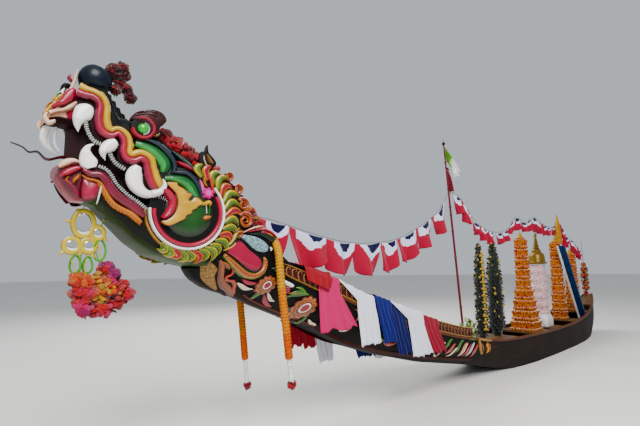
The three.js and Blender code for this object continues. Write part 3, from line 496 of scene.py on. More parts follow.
def merged(shape):
    """Closes seams and poles by merging points that coincide, and turns the faces outward by their volume."""
    points, faces, uv = shape
    key = np.round(points * 2e5).astype(np.int64)
    _, first, back = np.unique(key, axis=0, return_index=True, return_inverse=True)
    welded = back.reshape(-1)[faces]
    same = welded == np.roll(welded, -1, 1)
    quads = welded[~same.any(1)], faces[~same.any(1)]
    thin = same.sum(1) == 1
    three, three_loops = welded[thin], faces[thin]
    drop = same[thin].argmax(1)
    keep = np.arange(welded.shape[1])[None] != drop[:, None]
    triangles = three[keep].reshape(-1, 3), three_loops[keep].reshape(-1, 3)
    p = points[first]

    def volume(f):
        """Six times the volume between the triangles and the origin."""
        return np.einsum("ij,ij->i", p[f[:, 0]], np.cross(p[f[:, 1]], p[f[:, 2]])).sum() if len(f) else 0.0

    q = quads[0]
    total = volume(triangles[0]) + (volume(q[:, :3]) + volume(q[:, [0, 2, 3]]) if len(q) else 0.0)
    turn = slice(None, None, -1) if total < 0 else slice(None)
    return p, [(f[:, turn], u[:, turn]) for f, u in (quads, triangles) if len(f)], uv


def smooth(name, points, faces, uv, paints):
    """A smooth object from a mesh with a UV for every corner of every face."""
    mesh = bpy.data.meshes.new(name)
    mesh.from_pydata(points.tolist(), [], faces)
    mesh.uv_layers.new(name="UVMap").data.foreach_set("uv", uv.astype(np.float32).reshape(-1))
    for paint in paints:
        mesh.materials.append(paint)
    mesh.polygons.foreach_set("use_smooth", [True] * len(mesh.polygons))
    return added(name, mesh)


def dressed(made, nodes, body="root"):
    """The object with its body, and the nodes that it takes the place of."""
    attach(made, body)
    if nodes:
        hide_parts(*nodes)
    return made


def piece(name, shapes, replaces=(), body="root", sharp=38):
    """One object from closed shapes, each with its own material, riding on a body of the frame."""
    points, faces, uvs, kinds, paints = [], [], [], [], []
    start = 0
    for shape, paint in shapes:
        if paint not in paints:
            paints.append(paint)
        p, groups, uv = merged(shape)
        for f, loops in groups:
            faces += (f + start).tolist()
            uvs.append(uv[loops.reshape(-1)])
            kinds += [paints.index(paint)] * len(f)
        points.append(p)
        start += len(p)
    made = smooth(name, concatenate(points), faces, concatenate(uvs), paints)
    made.data.polygons.foreach_set("material_index", kinds)
    made.data.set_sharp_from_angle(angle=np.radians(sharp))
    made.data.update()
    return dressed(made, replaces, body)


# The two side planes that carry the carving meet where the neck joins the head: its x, its half breadth, and
# how much each plane closes in per metre towards the bow
JOIN, JOIN_HALF = 9.0, 0.34
HEAD_PLANE, NECK_PLANE = 0.172, 0.0435


def on_plane(flat, side, taper):
    """From a plane's own u, z and outward height to the boat's frame."""
    angle = np.arctan(taper)
    u, z, h = flat[:, 0], flat[:, 1], flat[:, 2]
    x = JOIN + u * cos(angle) + h * sin(angle)
    y = JOIN_HALF - u * sin(angle) + h * cos(angle)
    return stack([x, side * (y - flared_in(x, z) * (taper == NECK_PLANE)), z], -1)


def on_hull(flat, side, _):
    """From u (forward of the join), z and outward height to the skin of the hull."""
    u, z, h = flat[:, 0], flat[:, 1], flat[:, 2]
    keel, sheer, half, boxy = hull_at(JOIN + u).T
    share = np.clip((z - keel) / (sheer - keel), 0, 1)
    wide = [interp(share, rows[:, 1], rows[:, 0]) for rows in (ROUND_SECTION, BOX_SECTION)]
    return stack([JOIN + u, side * (half * (wide[0] + (wide[1] - wide[0]) * boxy) + h), z], -1)


def upright(shape, y, way=1):
    """A flat carving stood upright along the boat: its back at y, facing port or, with way -1, starboard."""
    p, faces, uv = shape
    return column_stack([p[:, 0], y + way * p[:, 2], p[:, 1]]), faces, uv


def carve(name, shapes, taper, nodes=(), place=on_plane):
    """The same carving on both sides of the boat, drawn in the side's own plane."""
    for word, side in SIDES:
        placed = [((place(p, side, taper), faces, uv), paint) for (p, faces, uv), paint in shapes]
        piece(f"{name}_carved_{word}", placed, [f"{one}_{word}" for one in nodes])


def oval(x, z, wide, high, angle):
    """Points round a middle, at each angle by its own half width and half height."""
    return column_stack([x + wide * cos(angle), z + high * sin(angle)])


def arc(u, z, radius, start, end, half=None, count=24):
    """Points on an arc, with a half width where a band runs along it."""
    angle = np.radians(linspace(start, end, count))
    rows = oval(u, z, radius, radius, angle)
    return rows if half is None else column_stack([rows, broadcast_to(half, count)])


def disc(u, z, radius, count=32):
    """A circle's outline."""
    return arc(u, z, radius, 0, 360 * (1 - 1 / count), None, count)


def petals(u, z, radius, number):
    """A rosette's outline: its radius swells once for each petal."""
    angle = linspace(0, 2 * pi, number * 8, endpoint=False)
    reach = radius * (1 - 0.18 * (1 - np.abs(cos(angle * number / 2))))
    return oval(u, z, reach, reach, angle)


def bloom():
    """A flower head of three tiers of pointed petals, one unit in radius, closed underneath."""
    number = 14
    angle = linspace(0, 2 * pi, number + 1)
    zig = np.where(np.arange(number + 1) % 2 == 0, 1.0, 0.72)
    # Rows: reach, lift, and share of light, from painted shade at the heart and underneath (0) to a painted
    # highlight at the petal tips (1)
    rows = [(0.0, -0.35, 0.0), (0.55, -0.3, 0.2), (1.0, 0.0, 1.0), (0.62, 0.12, 0.35), (0.8, 0.32, 0.95),
            (0.4, 0.36, 0.3), (0.5, 0.55, 0.8), (0.0, 0.5, 0.1)]
    reach = array([row[0] for row in rows])[:, None] * zig
    lift = broadcast_to(array([row[1] for row in rows])[:, None], reach.shape)
    points = stack([reach * cos(angle), reach * sin(angle), lift], -1)
    made = grid(points)
    uv = column_stack([made[2][:, 0], np.repeat([row[2] for row in rows], number + 1)])
    return made[0], made[1], uv


def leaf():
    """A pointed leaf, one unit long in x, bent up a little, thin and closed."""
    s = linspace(0, 1, 5)
    half = 0.22 * sin(pi * s ** 0.8)
    lift = 0.12 * s ** 2
    across = array([-1, 0, 1, 0, -1])
    thick = array([0, 0.03, 0, -0.015, 0])
    points = stack([broadcast_to(s[:, None], (5, 5)), half[:, None] * across,
                    lift[:, None] + thick + np.zeros((5, 1))], -1)
    made = grid(points)
    # v runs from base to tip: with petal paints, painted shade at the base and a painted highlight at the tip
    return made[0], made[1], column_stack([made[2][:, 0], np.repeat(s, 5)])


def hearts(clumps, profile, paint, sides=12):
    """A core in every ball of flowers; the profile's radii and heights are shares of the ball's radius."""
    made = []
    for x, y, z, r in clumps:
        rows = array(profile) * r
        rows = column_stack([maximum(rows[:, 0], 0.001), z + rows[:, 1]])
        made.append((turned((x, y), rows, sides), paint))
    return made


def strewn(clumps, number, floor=None, spread=1.0):
    """Random places on the outside of overlapping balls (x, y, z, radius), and the way each one faces."""
    balls = np.asarray(clumps, float)
    pick = rng.integers(0, len(balls), number * 3)
    way = unit(rng.normal(size=(number * 3, 3)))
    at = balls[pick, :3] + way * balls[pick, 3:] * spread
    away = np.linalg.norm(at[:, None] - balls[None, :, :3], axis=2) - balls[None, :, 3] * spread
    good = (away > -1e-6).all(1)
    at = at + way * balls[pick, 3:] * rng.normal(-0.05, 0.13, (number * 3, 1))
    if floor is not None:
        good &= floor(at)
    return at[good][:number], way[good][:number]


# Paints of this boat. Where a band's ramp goes dark at both edges, that is its outline and also painted shade
# where the carving meets the ground
BLACK = painted("black_lacquer", "0 050606", 0.55, 0.0, dust=0.1, relief=0.35)
WHITE = painted("white_gloss", "0 efece6", 0.25, 0.5, dust=0.14)
TOOTH = painted("small_teeth", "0 a4a8a2", 0.35, 0.3, dust=0.35)
GOLD = painted("gold_yellow", "0 e08a1c 0.25 f8c030", dust=0.22)
ORANGE = painted("orange", "0 b8511c 0.3 e8852c", dust=0.25)
CRIMSON = painted("crimson", "0 8a1230 0.2 cc1a44", dust=0.2)
DARK_RED = painted("dark_red", "0 3d0a14 0.3 701024", dust=0.2)
NAVY = painted("navy_border", "0 0b1016 0.35 1d2b3a 0.65 0e141b", dust=0.2)
GREEN = painted("leaf_green", "0 1d5a2a 0.3 3f9c48", dust=0.3)
DOME = painted("dome_green", "0 10240a 0.4 1a4c1a 1 28641e", dust=0.25, smooth=True)
FLESH = painted("flesh", "0 c08a70 0.3 e8c4ac", dust=0.15)
TAN = painted("tan_line", "0 c9924c", dust=0.25)
BROWN = painted("brown_strip", "0 2a120b 0.3 5d2c1b 0.75 3a1a10", dust=0.35)
PINK = painted("pink_flower", "0 e8459a 0.5 f07ab8", 0.7, 0.0, dust=0.2)
KANOK_PAINT = painted("mane_leaf", "0 14240e 0.08 e9c738 0.36 6f8d2b 0.62 34581e 0.8 e9c738 0.94 241206",
                      wander=0.05)
KANOK_RED = painted("mane_curl", "0 1d0a08 0.08 f0902c 0.34 b51c30 0.66 e8852c 0.92 2a0c08", wander=0.05)
HORN_PAINT = painted("horn_leaf", "0 1c0f08 0.15 a8762c 0.5 5a3416 0.85 1d120a")
CHEST = stippled("chest_beige", "d0ac7a", "9a7448", 60)
PALE_LEAF = stippled("pale_leaf", "b9cfd0", "5f7f86", 80)
BALL = painted("navy_ball", "0 0e1824", 0.4, 0.08, dust=0.1, relief=0.03)
RAIL_WOOD = planked("rail_wood", "4a2314", "8a5230", 0.4)
DECK_WOOD = planked("deck_wood", "4d3826", "8b6b49", 0.11)
HULL_PAINT = hull_finish("hull_paint")
THROAT = painted("throat_green", "0 060a05 0.35 0c1808 0.5 2a4a14 0.62 0a1406", 0.5, 0.05, wander=0.3,
                 dust=0.5, sole=("34501a", -0.9, -0.35))
NECK_PAINT = painted("neck_lacquer", "0 050606", 0.6, 0.0, dust=0.1, sole=("220d08", -0.82, -0.76))
HEAD_PAINT = head_finish("head_lacquer")
MOUTH = painted("mouth_inside", "0 220409", 0.6, 0.0, dust=0.1)
RED_BLOOMS = petal_finish("red_flowers", "c8102c e41c24 8c0c20 dc1430 5c0814", 0.4)
WARM_BLOOMS = petal_finish("warm_flowers", "e8332a f0742c c01c2c f29a34 8c1420 d84a2a")
TUFTS = petal_finish("pale_tufts", "9aa86a b7bf86 6f8450 c9cc9c", 0.5)
BOUQUET = petal_finish("bouquet", "a8186c e8206c dc0818 ec2410 f06010 f4b010", 0.7)
DARK_LEAVES = petal_finish("dark_leaves", "0c150a 141f10 0a100a 1c2c16", 0.5)
YELLOW_BITS = petal_finish("yellow_ornaments", "f2cc2e f0b020 f4dc58", 0.75)
FRET_RED = painted("fret_red_brown", "0 4e1c14", 0.5, 0.05, dust=0.35)
HOOK_PAINT = painted("fret_hooks", "0 3a1a12 0.2 a87858 0.8 8a5c40", 0.5, 0.05, dust=0.35)
# Lip bands: the pinker crimson by the gold is a painted highlight; the crimson's darker inner edge is painted
# shade and outline
# The gold's orange inner part is a painted shift to the crimson and partly painted shade
GOLD_BAND = painted("gold_band", "0 3a1c08 0.08 f0c040 0.45 f7c436 0.75 ea9028 0.95 b04a1c", wander=0.02)
CRIMSON_BAND = painted("crimson_band", "0 8c2418 0.08 dc2058 0.35 cc144c 0.68 a01040 0.88 3a0a18",
                       wander=0.02)
DARK_LIP = painted("lower_lip_red", "0 2a0a0c 0.12 8c1238 0.5 98123a 0.8 4c0a1c 0.92 140808", wander=0.02)
# Flame: orange on its sloping edges is painted shade, gold on its face
FLAME_PAINT = painted("flame_gold", "0 c8661c 0.3 e8952a 0.9 f7bf36", dust=0.2)
PINK_LEAF = painted("pink_leaf", "0 c85a80 0.3 f08ab4")
# Cheek lobe: light green along its crest is a painted highlight, the darker green at its edges painted shade
LOBE = painted("cheek_lobe", "0 0c2412 0.1 1f6a30 0.5 4aa858 0.86 1f6a30 0.95 0c2412", wander=0.05)
DEEP_GREEN = painted("deep_green", "0 0a1c0e")
TEAL = painted("teal_strip", "0 0a201c 0.3 1a4a40 0.8 0a201c")
BROW_PAINT = stippled("brow_scales", "140607", "3e1214", 60)
EYE_GLASS = painted("eye_green", "0 16d22c", 0.1, 0.5, dust=0.05, relief=0.02)
EYE_RIM = painted("eye_rim", "0 b8d4cc", dust=0.1)
# Chin pouch: dark at its rim as painted shade, lighter over its crown as a painted highlight
POUCH = painted("pouch_red", "0 5c0c20 0.35 b81c44 1 d02a58", smooth=True)
TONGUE = painted("tongue", "0 7c1424 0.45 5c0c1a 0.6 120709", 0.3, 0.2, smooth=True)
MANE_GROUND = painted("mane_ground", "0 120812 0.5 200c1a", coat=0.06)
BORDER_PAINT = painted("petal_border", "0 5a2a10 0.15 e8803a 0.5 f0a848 0.85 c85a1c")
GREEN_LINE = painted("green_line", "0 5f8a2c")
RED_SPOT = painted("red_spots", "0 c03a24")
PLATE_RED = painted("bare_plate", "0 c01c48", 0.3, 0.2, dust=0.15)
ROSETTE = painted("rosette", "0 8a2c14 0.12 e88a44 0.5 c85428")
CREAM = painted("cream", "0 6b4a3c 0.2 ecd8c0", dust=0.15)
LEAF_RIB = painted("carved_leaf", "0 12280e 0.1 3d7a2c 0.42 7a9a30 0.58 3d7a2c 0.9 10200c")
BROWN_WAVE = painted("brown_wave", "0 3a1e12 0.15 b06a48 0.6 8c4a2c 0.9 2c140c")
SALMON = painted("salmon_wave", "0 4a1410 0.2 e0604c 0.7 b03a2c 0.92 4a1410")
CHINE = painted("chine_strip", "0 2a0e0a 0.3 4a1c14 0.8 2a0e0a", 0.6, 0.0, dust=0.1)
PALE_BAND = painted("pale_band", "0 3a2a3a 0.2 b8a8b4 0.8 8c7c90", dust=0.3)
RUST = painted("rust_line", "0 7a3020", 0.5, 0.05, dust=0.3)
DARK_BLOOMS = petal_finish("dark_red_flowers", "6c0c1c 8c1024 400810 a01c2c", 0.3)
FRAME_YELLOW = painted("frame_yellow", "0 d0a820 0.3 f8dc38 0.8 e8c428", dust=0.2)
STRING_GREEN = painted("string_green", "0 3f9c2c 0.5 5fb83a", 0.6, 0.0, dust=0.2)
MIRROR = mirror_finish("mirror")
GARLAND_FLOWERS = garland_finish("garland_flowers")
MAST_PAINT = painted("mast_paint", "0 8c1c30", 0.45, 0.1, dust=0.4)
BUNTING_CLOTH = flag_finish("bunting_cloth", "0 0c1048 0.23 cfd0e8 0.44 d40c40")
STREAMER_RED = cloth_finish("streamer_red", "5c0418", "a00c2c")
STREAMER_GREEN = painted("streamer_green", "0 4f9c10 0.35 5fae1c 0.5 d8d8b8 0.75 e8e0e4", 0.75,
                         0.0, wander=0.08, smooth=True)
STRING = painted("string", "0 2a2622", 0.8, 0.0, dust=0.2)
TIER_PAPER = tier_finish("tier_paper")
CONE_PAPER = painted("cone_paper", "0 f0a22c 0.3 e8702a 0.6 f2c04a", 0.6, 0.0)
BOARD_BLUE = painted("board_blue", "0 0c3c78", 0.5, 0.1)
WHITE_PAPER = painted("white_paper", "0 d9d8d0", 0.6, 0.0)
PALE_PAPER = stippled("pale_paper", "e8e4dc", "d0a0a4", 40)
STUPA_GOLD = painted("stupa_gold", "0 a07818 0.5 b48a20", 0.35, 0.2, metallic=0.4, dust=0.3)


# Hull: rows of x, keel height, sheer height, half beam, and the share that the box has in the section. Both
# sections run from keel to sheer, in shares of the half beam and of the height. The neck starts at the bow
STERN, NECK_START = -3.0, 7.62
BULKHEADS, BULKHEAD_THICK = (-3.0, -2.15, 3.7, 7.59), 0.03
HULL = metres("-3000 330 960 90 1000, -2700 160 860 180 900, -2300 0 760 280 700, -1700 -190 640 390 400,"
              "-900 -320 540 470 150, 0 -370 480 510 0, 1200 -350 465 525 0, 2200 -260 480 525 50,"
              "3000 -100 500 510 200, 3600 50 530 500 350, 4300 215 620 485 500, 5000 345 740 470 650,"
              "5700 475 905 455 800, 6400 655 1110 435 900, 7000 865 1290 420 1000, 7620 1141 1540 400 1000")
ROUND_SECTION = array([[0, 0], [0.5, 0.03], [0.82, 0.15], [0.96, 0.38], [1, 0.7], [1, 1]])
BOX_SECTION = array([[0, 0], [0.5, 0], [0.7, 0.15], [0.88, 0.34], [0.98, 0.55], [1, 1]])


def hull_at(x):
    """Keel height, sheer height, half beam and boxiness at x."""
    return eased(HULL, np.atleast_1d(np.asarray(x, float)), 0.15)[:, 1:]


def hull_skin(xs, inset, lift):
    """Half sections from keel to sheer at each x, as y and z, drawn in by inset and lifted at the keel."""
    keel, sheer, half, boxy = (column[:, None, None] for column in hull_at(xs).T)
    share = ROUND_SECTION + (BOX_SECTION - ROUND_SECTION) * boxy
    fine = stack([curve(rows, 14) for rows in share])
    inset = np.minimum(inset, half[..., 0] * 0.5)
    y = (half[..., 0] - inset) * fine[..., 0]
    low = keel[..., 0] + lift
    return y, low + (sheer[..., 0] - low) * fine[..., 1]


def make_hull():
    """The shell between its outer and inner skin, open above, with four bulkheads."""
    xs = linspace(STERN, NECK_START, 110)
    y, z = hull_skin(xs, 0.0, 0.0)
    yi, zi = hull_skin(xs, 0.045, 0.055)
    ys = concatenate([y[:, ::-1], -y[:, 1:], -yi[:, ::-1], yi[:, 1:], y[:, -1:]], 1)
    zs = concatenate([z[:, ::-1], z[:, 1:], zi[:, ::-1], zi[:, 1:], z[:, -1:]], 1)
    x = broadcast_to(xs[:, None], ys.shape)
    girth = np.cumsum(np.hypot(np.diff(ys, axis=1, prepend=ys[:, :1]),
                               np.diff(zs, axis=1, prepend=zs[:, :1])), 1)
    shell = grid(stack([x, ys, zs], -1))
    uv = column_stack([x.reshape(-1), girth.reshape(-1)])
    walls = []
    for at in BULKHEADS:
        y, z = (rows[0] for rows in hull_skin(array([at]), 0.02, 0.02))
        rim = column_stack([concatenate([y[::-1], -y[1:]]), concatenate([z[::-1], z[1:]])])
        rings = stack([column_stack([np.full(len(rim), at + step), rim]) for step in (0, BULKHEAD_THICK)])
        rings = concatenate([rings, rings[:, :1]], 1)
        walls.append((capped(rings), HULL_PAINT))
    piece("hull_planks",
          [((shell[0], concatenate([shell[1], end_faces(len(xs), ys.shape[1])]), uv), HULL_PAINT), *walls],
          ["hull"])


def end_faces(rows, columns):
    """Quads that close both ends of a U-shaped shell, from its outer skin to its inner one."""
    outer = np.arange((columns - 1) // 2 + 1)
    inner = columns - 1 - outer
    made = []
    for row in (0, rows - 1):
        o, i = outer + row * columns, inner + row * columns
        quads = stack([o[:-1], o[1:], i[1:], i[:-1]], -1)
        made.append(quads if row else quads[:, ::-1])
    return concatenate(made)


def strip_along(xs, section):
    """A closed bar that follows the port sheer; the section gives offsets from half beam and sheer."""
    _, sheer, half, _ = hull_at(xs).T
    out = half[:, None] + section[:, 0]
    up = sheer[:, None] + section[:, 1]
    x = broadcast_to(xs[:, None], out.shape)
    return capped(stack([x, out, up], -1))


def mirrored(shape, side):
    """The shape as it is to port, or its mirror image to starboard."""
    points, faces, uv = shape
    return points * [1, side, 1], faces, uv


def rounded_box(low, high, radius=0.006):
    """A rectangle with cut corners, closed, as offsets."""
    (a, b), (c, d), r = low, high, radius
    ring = [(a + r, b), (c - r, b), (c, b + r), (c, d - r), (c - r, d), (a + r, d), (a, d - r), (a, b + r)]
    return array(ring + ring[:1])


def hook(u, z, size):
    """A carved hook: a short stem that curls back at its top."""
    rows = metres("0 0 9, 6 30 10, 10 62 10, -6 84 10, -34 84 9, -42 64 6, -30 54 3")
    return rows * size + [u, z, 0]


# The fretwork's board and its two lines: lower inner and upper outer corner, from half beam and sheer
FRETWORK = (((-0.018, 0.0356), (0.0, 0.185), FRET_RED), ((-0.001, 0.038), (0.008, 0.052), TAN),
            ((-0.001, 0.168), (0.008, 0.184), TAN))


def make_rails():
    """The rail on each sheer, and the fretwork with its hooks along the bow."""
    xs = linspace(STERN, NECK_START, 90)
    bow = linspace(4.6, NECK_START, 40)
    for word, side in SIDES:
        rail = strip_along(xs, rounded_box((-0.05, HAIR), (0.015, 0.035)))
        piece(f"rail_cap_{word}", [(mirrored(rail, side), RAIL_WOOD)], [f"rail_{word}"])
        shapes = [(mirrored(strip_along(bow, rounded_box(low, high, 0.003)), side), paint)
                  for low, high, paint in FRETWORK]
        for x in np.arange(4.68, 7.6, 0.085):
            _, sheer, half, _ = hull_at(x)[0]
            slope = (hull_at(x + 0.05)[0][1] - sheer) / 0.05
            p, f, uv = ribbon(hook(0, 0, 1.0), 0.008, 12, 5)
            q = column_stack([x + p[:, 0], half + p[:, 2], sheer + 0.062 + p[:, 1] + slope * p[:, 0]])
            shapes.append((mirrored((q, f, uv), side), HOOK_PAINT))
        piece(f"fretwork_board_{word}", shapes, [f"fretwork_{word}"])


def dress_decks():
    """Decks and seats are shown as their solids, in boards."""
    for name in ("fore_deck", "aft_deck", *(f"seat_{k}" for k in range(1, 6))):
        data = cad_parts[name].data
        data.materials.clear()
        data.materials.append(DECK_WOOD)


# Neck and head. Rows of x, bottom and top height, and for the neck how far its back is rounded down
NECK = metres("7620.3 1141 1665 20, 8000 1286 1815 60, 8300 1405 2080 90, 8600 1535 2343 105,"
              "8700 1562 2430 110, 8800 1592 2517 110, 8900 1632 2603 110, 9000 1697 2690 110")
CHEST_FOOT = metres("9000.3 1697.2 1812 5, 9042 1735 1812 5, 9079 1797 1812 2")
# How tall the flare over the neck's foot is
FLARE_TALL = 0.3
SKULL = metres("9000.3 2350.3 2690, 9200 2350.3 2800, 9440 2350.3 2970, 9600 2620 3080, 9780 2790 3090,"
               "9870 2865 3320, 9990 2920 3320, 10100 2945 3220, 10200 2950 3090, 10284 2940 2990")
JAW = metres("9000.3 1815 2350, 9200 1855 2350, 9440 1925 2350, 9600 2030 2385, 9780 2200 2470,"
             "9900 2320 2560, 9980 2345 2600")
CHIN = metres("9980.3 2345 2600, 10060 2345 2640, 10130 2420 2655, 10190 2520 2610")


def block(table, half, chine, shoulder, reach=0.02, count=60, narrow=0.6):
    """A hewn log: upright sides, a narrower belly and a narrower back, its corners worked round."""
    xs = linspace(table[0, 0], table[-1, 0], count)
    rows = eased(table, xs, reach)
    low, high = rows[:, 1], rows[:, 2]
    foot = np.minimum(chine, (high - low) * 0.3)
    slope = np.minimum(shoulder, (high - low) * 0.3)
    wide = half(xs)
    y = stack([wide * narrow, wide, wide, wide * 0.62], -1)
    z = stack([low, low + foot, high - slope, high], -1)
    y = concatenate([y, -y[:, ::-1]], 1)
    z = concatenate([z, z[:, ::-1]], 1)
    for _ in range(2):
        y, z = (stack([a * 0.8 + np.roll(a, -1, 1) * 0.2, a * 0.2 + np.roll(a, -1, 1) * 0.8], -1)
                .reshape(len(xs), -1) for a in (y, z))
    ring = stack([broadcast_to(xs[:, None], y.shape), y, z], -1)
    return capped(concatenate([ring, ring[:, :1]], 1))


def neck_half(x):
    """Half breadth between the neck's two planes at x."""
    return JOIN_HALF + NECK_PLANE * (JOIN - x)


def flared_in(x, z):
    """How far the neck's side leans in near its foot, which narrows to a stem at the chest."""
    sole = concatenate([NECK[:, :2], CHEST_FOOT[:, :2]])
    lack = np.clip(1 - (z - interp(x, *sole.T)) / FLARE_TALL, 0, 1)
    return interp(x, [7.65, 7.95], [0.5, 0.8]) * neck_half(x) * lack ** 1.6


def neck_log(rows):
    """The neck or its chest: a narrow foot, sides that flare out over it, and a worked back."""
    xs = linspace(rows[0, 0], rows[-1, 0], 60)[:, None]
    _, low, high, slope = eased(rows, xs[:, 0], 0.02).T[..., None]
    share = linspace(0, 1, 9)
    tall = np.minimum(FLARE_TALL, (high - slope - low) * 0.95)
    z = concatenate([low + tall * share, high - slope * (1 - share[::2])], 1)
    y = neck_half(xs) - flared_in(xs, z)
    y[:, 9:] -= neck_half(xs) * 0.38 * share[None, ::2] ** 1.5
    y, z = concatenate([y, -y[:, ::-1], y[:, :1]], 1), concatenate([z, z[:, ::-1], z[:, :1]], 1)
    return capped(stack([broadcast_to(xs, y.shape), y, z], -1))


def head_half(x):
    """Half breadth between the head's two planes at x."""
    return JOIN_HALF - HEAD_PLANE * (x - JOIN)


def make_head():
    """The logs of neck, skull and lower jaw."""
    piece("neck_log", [(neck_log(NECK), NECK_PAINT), (neck_log(CHEST_FOOT), NECK_PAINT)], ["neck"])
    piece("skull_carved", [(block(SKULL, head_half, 0.04, 0.08), HEAD_PAINT)], ["skull"])
    piece("lower_jaw_carved", [(block(JAW, head_half, 0.04, 0.02), THROAT)], ["lower_jaw"])


# The mouth, in the head's plane: rows of u, z and the half width of a band, or of u and z for an outline
UPPER_LIP = metres("1105 3222 66, 1050 3208 58, 998 3203 52, 946 3172 55, 922 3110 55, 925 3045 58,"
                   "920 2980 64, 900 2925 66, 852 2905 50, 803 2930 45, 752 2892 52, 735 2830 50,"
                   "738 2775 52, 722 2732 58, 680 2722 60, 625 2748 58, 567 2722 60, 543 2645 58,"
                   "525 2580 64, 500 2520 62, 478 2480 34")
LOWER_LIP = metres("1040 2582 22, 985 2552 32, 920 2552 34, 880 2520 38, 845 2460 42, 800 2405 42,"
                   "740 2360 42, 680 2325 42, 620 2280 40, 578 2240 26")
FRINGE = metres("1045 2540 8, 1000 2512 13, 955 2506 15, 915 2488 17, 880 2435 18, 845 2375 18, 800 2325 18,"
                "740 2290 19, 680 2262 21, 630 2222 22, 592 2188 10")
FANGS = [
    metres("1012 3105 26, 1030 3078 56, 1058 3042 72, 1083 3000 53, 1094 2955 34, 1092 2915 16, 1086 2884 1"),
    metres("818 2838 34, 845 2815 50, 880 2785 48, 903 2750 34, 900 2715 18, 885 2680 1"),
    metres("642 2655 34, 662 2605 60, 665 2550 66, 645 2490 58, 592 2440 42, 525 2430 30, 463 2453 26,"
           "432 2490 20, 425 2530 12, 436 2572 1"),
]
LOWER_FANG = metres("985 2600 40, 1000 2638 66, 1020 2690 52, 1024 2740 32, 1005 2780 16, 965 2806 1")
UPPER_GUM = metres("1120 3130, 1000 3200, 945 3150, 930 3020, 900 2930, 800 2930, 730 2880, 710 2760,"
                   "560 2740, 500 2620, 455 2500, 400 2420, 420 2385, 500 2420, 600 2500, 640 2640, 740 2620,"
                   "800 2700, 800 2790, 860 2850, 930 2800, 960 2830, 1020 2960, 1060 2990")
LOWER_GUM = metres("1050 2600, 940 2605, 870 2560, 790 2455, 710 2400, 576 2330, 580 2235, 690 2280,"
                   "770 2325, 840 2400, 890 2470, 1050 2520")
UPPER_ROWS = [(metres("1038 2995, 1035 2935, 1008 2870, 970 2822, 905 2800"), 14),
              (metres("862 2755, 838 2700, 800 2655, 735 2620"), 10),
              (metres("475 2412, 430 2405, 392 2380"), 5)]
LOWER_ROW = metres("935 2625, 880 2605, 838 2560, 800 2498, 755 2450, 700 2402, 640 2365, 590 2325, 560 2300")


def beside(rows, shift, share, count=110):
    """A narrower band inside another: its line moved left by a share of the half width."""
    line = curve(rows, count)
    left = sideways(line)[1]
    return column_stack([line[:, :2] + left * line[:, 2:] * shift, line[:, 2] * share])


def flicks(rows, places, side, long, half, height):
    """Small flame tips on one edge of a band, at shares of its length; each leans back along the band."""
    line = curve(rows, 200)
    way, left = sideways(line)
    made = []
    for k in (array(places) * 199).astype(int):
        out = left[k] * side
        edge = line[k, :2] + out * line[k, 2] * 0.6
        bend = [edge - way[k] * half, edge + (out + way[k]) * long * 0.45,
                edge + (out * 0.8 + way[k] * 1.2) * long]
        made.append(ribbon(column_stack([bend, [half, half * 0.8, 0.001]]), height, 10, 7))
    return made


def tooth_row(line, number, tall):
    """Small blunt teeth side by side along a line, each a short rounded band across it."""
    at = curve(line, number * 2 + 1)
    made = []
    for k in range(number):
        step = at[2 * k + 2] - at[2 * k]
        wide = np.hypot(*step)
        out = array([-step[1], step[0]]) / wide * tall * rng.uniform(0.85, 1.15)
        rows = at[2 * k + 1] + out * array([[-0.5], [-0.1], [0.35], [0.5]])
        made.append((ribbon(column_stack([rows, wide * array([0.3, 0.46, 0.42, 0.2])]), 0.03, 8, 6, 0.0),
                     TOOTH))
    return made


def bands(table):
    """Ribbons from rows of: line, height, paint."""
    return [(ribbon(metres(line), height, 12 * len(metres(line)), 9), paint) for line, height, paint in table]


def make_mouth():
    """Lips, gums, fangs and small teeth."""
    lip = [(ribbon(beside(UPPER_LIP, -0.5, 0.54), 0.048, 110, 11), GOLD_BAND),
           (ribbon(beside(UPPER_LIP, 0.46, 0.54), 0.066, 110, 13), CRIMSON_BAND)]
    lip += [(one, GOLD)
            for one in flicks(UPPER_LIP, (0.12, 0.36, 0.4, 0.55, 0.66, 0.78, 0.86, 0.93), -1, 0.034, 0.018,
                              0.042)]
    lip += bands([
        ("1132 3225 18, 1165 3160 42, 1200 3105 30, 1235 3080 20, 1275 3055 6", 0.04, CRIMSON),
        ("1112 3115 10, 1150 3072 20, 1190 3040 16, 1240 3020 16, 1285 2996 20", 0.045, FLESH),
        ("1300 3000 8, 1310 2965 18, 1285 2925 20, 1245 2945 12", 0.03, FLESH),
    ])
    carve("upper_lip", lip, HEAD_PLANE, ["upper_lip"])
    low = [(ribbon(LOWER_LIP, 0.055, 80, 13), DARK_LIP), (ribbon(FRINGE, 0.04, 80, 9), ORANGE)]
    low += [(one, ORANGE) for one in flicks(FRINGE, linspace(0.25, 0.97, 16), 1, 0.022, 0.014, 0.03)]
    carve("lower_lip", low, HEAD_PLANE, ["lower_lip"])
    tail = FANGS[2][5:] + [0, 0, 0.004]
    upper = [(plate(UPPER_GUM, 0.012, 0.003), MOUTH), (ribbon(tail, 0.088, 30, 13, 0.0, 0.6), WHITE)]
    upper += [(ribbon(rows, 0.06, 40, 13, 0.0, 0.6), WHITE) for rows in FANGS]
    lower = [(plate(LOWER_GUM, 0.012, 0.003), MOUTH), (ribbon(LOWER_FANG, 0.055, 34, 13, 0.0, 0.6), WHITE)]
    for line, number in UPPER_ROWS:
        upper += tooth_row(line, number, 0.03)
    lower += tooth_row(LOWER_ROW, 27, 0.028)
    carve("upper_teeth", upper, HEAD_PLANE, ["upper_teeth"])
    carve("lower_teeth", lower, HEAD_PLANE, ["lower_teeth"])


